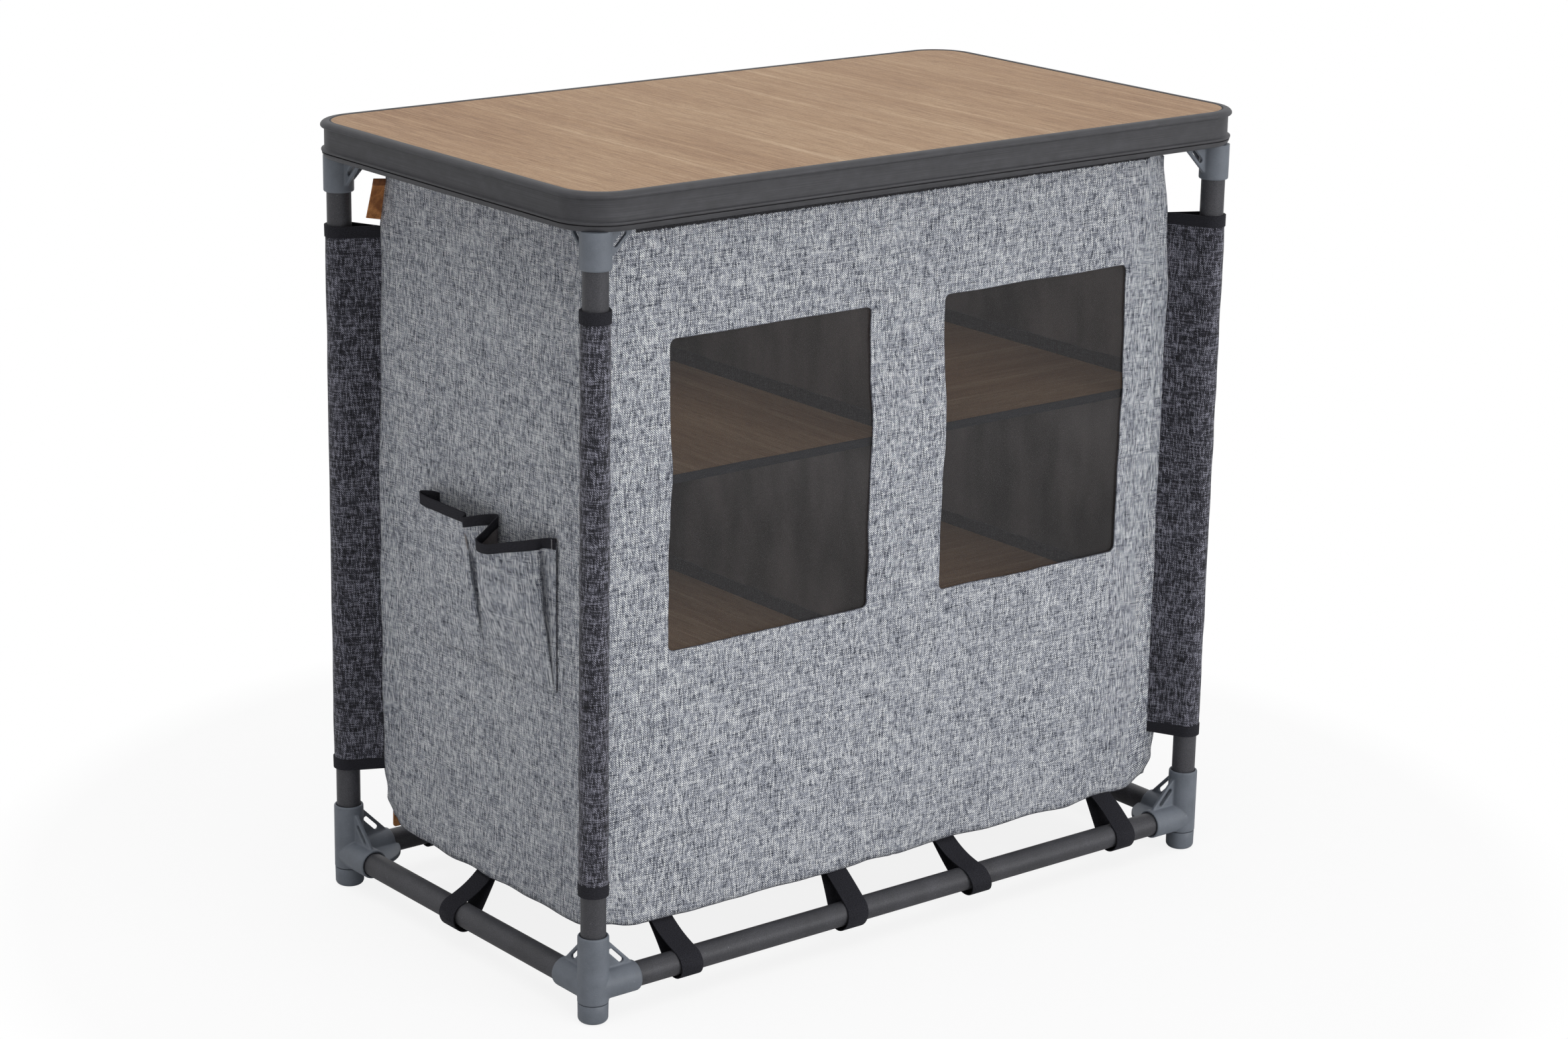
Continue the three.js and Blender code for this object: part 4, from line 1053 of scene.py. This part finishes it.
def strap(name, place, inwards, radius, bows, lean):
    """A webbing loop: its line carried 26 mm across, with a flat section with eased corners."""
    line = loop(radius, bows)
    tangent = np.roll(line, -1, 0) - np.roll(line, 1, 0)
    tangent /= np.linalg.norm(tangent, axis=1, keepdims=True)
    normal = stacked(tangent[:, 1], -tangent[:, 0])
    section = np.array([(-13, 0.25), (-12.7, 0), (12.7, 0), (13, 0.25), (13, 1.05), (12.7, 1.3),
                        (-12.7, 1.3), (-13, 1.05)])
    plan = line + section[:, None, 1:] * normal
    aside = section[:, :1] + lean * plan[..., 1] / strap_reach_out
    inwards = np.array(inwards, float)
    sideways = np.array([-inwards[1], inwards[0]])
    flat = place + plan[..., :1] * inwards + aside[..., None] * sideways
    points = np.concatenate([flat, plan[..., 1:] + cross_height], -1)
    uv = stacked(lengths(line, True), lengths(section, True)[:, None])
    piece(name, grid(points, uv, True, True), webbing)


for end, sign in ends:
    for number, (x, *form) in enumerate([
        (-287, 13.9, (-3.5, -1.5), 4), (-75, 14.1, (0.5, -1), -6), (91, 15.2, (-6, 1.5), 12),
        (300, 14.1, (2.5, 0), -1),
    ]):
        strap(f"floor_strap_{end}_{number}", (x, sign * leg_y), (0, -sign), *form)
for end, sign in sides:
    strap(f"floor_strap_{end}", (sign * leg_x, 13), (-sign, 0), 14.3, (-3.5, 0.5), 2)

divider_half, divider_low = 189.9, 80.3
y, z = np.meshgrid(np.linspace(-divider_half, divider_half, 60),
                   np.linspace(divider_low, cabinet_top, 90))
points = stacked(-0.3 + 0.3 * ripple(y, z * 0.3, 80, 40), y, z)
divider = cloth_piece("divider_cloth", grid(points, stacked(y, z)), "centre_divider",
                      finishes=[lining], thickness=0.9)


# Shelves: in each bay two trays of dark melange cloth with turned-up lips, trimmed with smooth tape
# along the front and rear, each with a stiff wood-faced board in it, and a board on the floor.
# For both cloths, the last number is the share of painted shade in the twill grooves.
dark_cloth = melange("dark_melange", (18, 18, 22), (60, 60, 69), (154, 154, 168), 0.55)
tray_cloth = melange("tray_weave", (36, 36, 42), (56, 56, 64), (82, 82, 92), 0.2)
smooth_tape = Finish("smooth_trim_tape")
run = smooth_tape.run()
rows = smooth_tape.noise(run, (60, 1600, 1))
board_gap_shade = smooth_tape.node("SeparateXYZ", {0: run}, 1).above(0.0184, 9000)
# Painted shade: the tape turns nearly black along its inner face, next to the board, for the shadow
# in the gap between tape and board.
smooth_tape.cover({
    "Base Color": smooth_tape.blend(
        board_gap_shade, smooth_tape.ramp(rows, (0.35, 38, 40, 49), (0.65, 60, 62, 73)), (12, 12, 13)),
    "Roughness": 0.6, "Specular IOR Level": 0.3, "Normal": smooth_tape.bump(rows, 0.0001),
})

tray_near, tray_far, tray_half = 1.4, 365.4, 186.4
for name, sign in sides:
    low, high = (tray_near, tray_far) if sign > 0 else (-tray_far, -tray_near)
    for level, height in (("lower", 288), ("upper", 523)):
        base, lip = height - 7.9, height + 15
        section = np.array([
            (low, base + 0.6), (low + 0.6, base), (high - 0.6, base), (high, base + 0.6),
            (high, lip - 0.4), (high - 0.7, lip), (high - 1.4, lip - 0.4),
            (high - 1.4, base + 1.6), (low + 1.4, base + 1.6), (low + 1.4, lip - 0.4),
            (low + 0.7, lip), (low, lip - 0.4),
        ])
        y = np.linspace(tray_half, -tray_half, 90)[:, None]
        wave = 0.9 * ripple(y, section[:, 0], 60, 50 + sign) * (section[:, 1] > height)
        tray = solid_run(stacked(section[:, 0], y, section[:, 1] + wave),
                         stacked(y, lengths(section, True)))
        piece(f"tray_{level}_{name}", tray, tray_cloth,
              f"shelf_tray_{level}_{name}")
        section = np.array([(183.4, -7.6), (185, -8.1), (186.6, -7.4), (187, -4), (186.7, -1),
                            (185.6, 0.2), (184, 0.3), (183, -0.4)]) + [0, height]
        x = np.linspace(low, high, 80)[:, None]
        sag = 0.35 * ripple(x, 0 * x, 110, 60 + sign)
        for end, facing in ends:
            ring = stacked(x, facing * section[:, 0], section[:, 1] + sag)[:, ::facing]
            piece(f"tray_trim_{level}_{name}_{end}",
                  solid_run(ring, stacked(x, lengths(section, True))), smooth_tape)
    wood_finish = oak_across if name == "left" else oak_along
    for node in (f"shelf_board_lower_{name}", f"shelf_board_upper_{name}", f"floor_board_{name}"):
        nodes[node].material_slots[0].material = wood_finish.material


# Corner sleeves: doubled dark melange cloth sewn into the cabinet's corner seams and slipped over
# the legs, bound with black tape at the top and bottom.
def sleeve(signs, radius_in, radius_out, low, high, rows, reach, wrinkle, seed):
    """A drop-shaped sleeve round a leg, its tip at the cabinet's corner: its outer face, its inner
    face and the edges between, closed."""
    z = np.linspace(low, high, rows)
    outer = np.concatenate(drop_line(radius_out, reach, 40, 10)[:3])
    inner = np.concatenate(drop_line(radius_in, reach - 1.6, 40, 10)[:3])
    around = lengths(outer, True)
    crease = wrinkle * ripple(around[:-1], z[:, None], 60, seed)
    from_axis = np.linalg.norm(outer, axis=1, keepdims=True)
    fade = ease((reach - 6 - from_axis[:, 0]) / 8)
    puffed = outer + (np.maximum(crease, -0.3) * fade)[..., None] * outer / from_axis
    plan = np.concatenate([puffed, np.broadcast_to(inner, puffed.shape)])
    plan = turned(plan, np.arctan2(-signs[1], -signs[0])) + at_leg(*signs)[:2]
    there_and_back = np.concatenate([z, z[::-1]])[:, None]
    points = stacked(plan[..., 0], plan[..., 1], there_and_back)
    upwards = np.concatenate([z, z[::-1] + 1, z[:1] + 2])[:, None]
    return grid(points, stacked(around, upwards), True, True)


sleeve_low, binding_width = 132, 12
for number, (name, signs) in enumerate(corners.items()):
    sleeve_high = 712 if name == "front_left" else 708
    reach = 47.5 if name == "rear_right" else 43.3
    cloth = sleeve(signs, 13.1, 14.4, sleeve_low + 0.5, sleeve_high - 0.5, 90, reach, 0.5,
                   70 + number)
    piece(f"leg_sleeve_{name}", cloth, dark_cloth, f"sleeve_{name}")
    for end, low in (("low", sleeve_low), ("high", sleeve_high - binding_width)):
        band = sleeve(signs, 12.9, 15.3, low, low + binding_width, 8, reach + 0.2, 0.25,
                      80 + number)
        piece(f"sleeve_binding_{end}_{name}", band, webbing)


# Fixing strips: the hook side of a hook-and-loop tape, sewn along the top of both long walls. Their
# lower edge is ragged and rises a little towards +X.
fuzz = Finish("black_hook_tape")
hooks = fuzz.noise(fuzz.run(), (800, 800, 1), 3, 0.7)
fuzz.cover({
    "Base Color": fuzz.ramp(hooks, (0.4, 16, 16, 18), (0.7, 66, 66, 72)),
    "Roughness": 0.95, "Normal": fuzz.bump(hooks, 0.0008),
})
section = np.array([(192.3, 776), (193.7, 776), (194.0, 772), (193.7, 768.2), (192.3, 768.2)])
strip_half = 330
x = np.linspace(strip_half, -strip_half, 900)[:, None]
ragged = np.random.default_rng(90).normal(0, 0.7, (900, 5)) * [0, 0, 0.4, 1, 1]
ragged = ragged + (x + strip_half) / (2 * strip_half) * 1.5 * np.array([0, 0, 0.5, 1, 1])
for end, sign in ends:
    ring = stacked(x, sign * (section[:, 0] + 0.2 * ragged), section[:, 1] + ragged)[:, ::-sign]
    piece(f"hook_tape_{end}", solid_run(ring, stacked(x, 4.0 * np.arange(6))), fuzz,
          f"fixing_strip_{end}")


# Utensil pocket: one cloth sewn to the left wall along its sides, its foot and a middle seam, with
# pleats beside the seams that let two pouches stand open, and a black binding round the mouth.
mouth = np.array([
    (82.8, 1.5, 457.8), (84.9, 6, 459.5), (92.5, 10, 459.4), (101.8, 12.5, 457.8),
    (97, 15.5, 456.1), (81.1, 17.5, 456), (58.5, 19.5, 457.3), (40.5, 20.5, 457.6),
    (21.9, 21, 457.8), (7.2, 20, 457.4), (9.5, 23, 455.2), (10.2, 24.5, 453), (3.5, 22.5, 454.8),
    (-1.6, 19, 456.6), (-9.5, 12.5, 458.6), (-15.8, 4, 459.6), (-18.8, 1.5, 459.4),
    (-23.2, 2.5, 458.8), (-23.1, 9, 455.1), (-21.8, 17, 447.3), (-19.8, 24, 441.2),
    (-19.6, 27, 439.2), (-24.1, 29, 437.8), (-33, 29.5, 437.4), (-43.1, 28.5, 438.8),
    (-66.7, 24, 446.2), (-91.3, 17.5, 453), (-103, 12.5, 456.2), (-104.5, 11.2, 456.8),
    (-105.5, 10.4, 457.1), (-107.5, 9, 457.5), (-111, 6.5, 458), (-115.5, 3, 458.6),
    (-119.5, 1.2, 458.8),
])
middle = np.array([
    (84, 1.2), (88, 3.5), (96, 6), (102.5, 8), (99, 10.5), (84, 12), (62, 13), (43, 14),
    (26, 14.5), (11, 14.5), (7, 12), (14, 8), (19, 4.5), (8, 2.8), (-5, 2), (-14, 1.6),
    (-18, 1.2), (-19, 2.5), (-19, 9), (-18, 15), (-17, 20), (-17.5, 22.8), (-21.5, 24),
    (-32, 23.4), (-44, 22), (-70, 18), (-96, 13), (-108.5, 9.8), (-109, 8), (-101, 4.2),
    (-97, 1.9), (-105, 1.3), (-113, 1.2), (-119.5, 1.1),
])
foot = np.array([
    (88, 0.7), (94, 0.9), (100, 1.1), (106, 1.4), (107, 1.9), (92, 2.2), (68, 2), (46, 1.8),
    (26, 1.6), (10, 1.5), (6, 1.5), (3, 1.4), (0, 1.3), (-4, 1.2), (-9, 1.1), (-15, 1),
    (-17, 0.8), (-18.5, 0.9), (-19, 1.2), (-19, 1.5), (-19, 1.9), (-20, 2.1), (-24, 2.1),
    (-33, 2), (-45, 1.9), (-72, 1.8), (-98, 1.8), (-117.3, 1.7), (-117.4, 1.4), (-115.5, 1.1),
    (-115, 0.9), (-116.5, 0.8), (-118, 0.8), (-119.8, 0.8),
])
high = 0.75 * mouth[:, :2] + 0.25 * middle
high[-7:] = [(-103, 10), (-103.7, 8.4), (-97.5, 4), (-96, 2.2), (-102, 1.5), (-111, 1.3),
             (-119.5, 1.1)]
pocket_foot, pocket_wall = 303, 368.4


def softened(values, rounds):
    """Each value averaged with its neighbours along the first axis, over and over, ends kept."""
    for _ in range(rounds):
        inner = (values[:-2] + 2 * values[1:-1] + values[2:]) / 4
        values = np.concatenate([values[:1], inner, values[-1:]])
    return values


def pouch(levels):
    """The pocket's surface. Four pleated lines across, each of pairs of y and distance from the
    wall, stand at shares 0, 0.14, 0.45 and 1 of the way down, and what lies between is blended and
    softened. The heights run evenly from the mouth's line to the foot."""
    run = lengths(mouth[:, :2])
    fine = np.linspace(0, run[-1], 260)

    def across(columns, levels_from, levels_to):
        """Values for each level, from those of other levels."""
        return np.stack([np.interp(levels_to, levels_from, column) for column in columns.T], 1)

    pairs = []
    for k in (0, 1):
        lines = [np.interp(fine, run, line[:, k]) for line in (mouth, high, middle, foot)]
        lines = softened(np.stack(lines, 1), 5).T
        shares = np.linspace(0, 1, 101)
        down = softened(across(lines, (0, 0.14, 0.45, 1), shares), 30)
        pairs.append(across(down, shares, levels))
    y, out = pairs
    top = softened(np.interp(fine, run, mouth[:, 2]), 5)
    levels = levels[:, None]
    z = top + (pocket_foot - top) * levels
    out = out + 0.5 * ripple(y, z * 1.6, 34, 95) * ease((out - 2) / 8) * ease((levels - 0.08) / 0.1)
    return stacked(-(pocket_wall + out), y, z), stacked(fine, z)


points, uv = pouch(np.linspace(1, 0.02, 90))
pocket = cloth_piece("pocket_pouches", grid(points, uv), "utensil_pocket", thickness=0.9,
                     inwards=False)
# A dark cord along the pocket's side edge: the seam itself, drawn dark to paint the thin shadow
# line under the pocket's edge.
piece("pocket_side_seam_shadow", cord_along(points[:, -1] + [-0.3, -0.7, 0], 0.55), thread_finish)
line, uv = pouch(np.array([0.068, 0.045, 0.022, 0.0]))
line = np.concatenate([line, line[-1:] + [0, 0, 0.5]])
uv = np.concatenate([uv, uv[-1:] + [0, 0.5]])
cloth_piece("pocket_mouth_binding", grid(line, uv), "pocket_binding", finishes=webbing,
            thickness=1.9, inwards=False)

pale_thread = speckled("pale_thread", 900, (0.4, 158, 158, 162), (0.6, 212, 212, 214), 0.8)
tack_x, tack_y, tack_top = -372.6, -116.2, 458.2
step = np.arange(22)
tack = stacked(tack_x, tack_y + 0.8 * (-1.0) ** step, tack_top - 0.5 * step)
piece("pocket_bar_tack", cord_along(tack, 0.28), pale_thread)


# Tag: a plain piece of tan leather, sewn into the front left seam just below the rim. It leans back
# with the seam, and its top is folded over and darker.
tag_foot = 722
for name, finish, replaced, width, near, far, outline in (
    ("tan_tag", leather, "leather_tag", 0.4, 190, 191.4,
     [(-384.3, tag_foot), (-367.4, 718.5), (-360.4, 759.7), (-376.6, 761.4)]),
    ("tag_fold", darker_leather, (), 0.6, 189.5, 191.9,
     [(-377.9, 754.6), (-361.4, 752.9), (-360.1, 760), (-376.7, 761.8)]),
):
    points, faces, uv = upright_plate(outline, near, far)
    points[:, 1] -= 0.08 * (points[:, 2] - tag_foot)
    eased(piece(name, (points, faces, uv), finish, replaced), width)
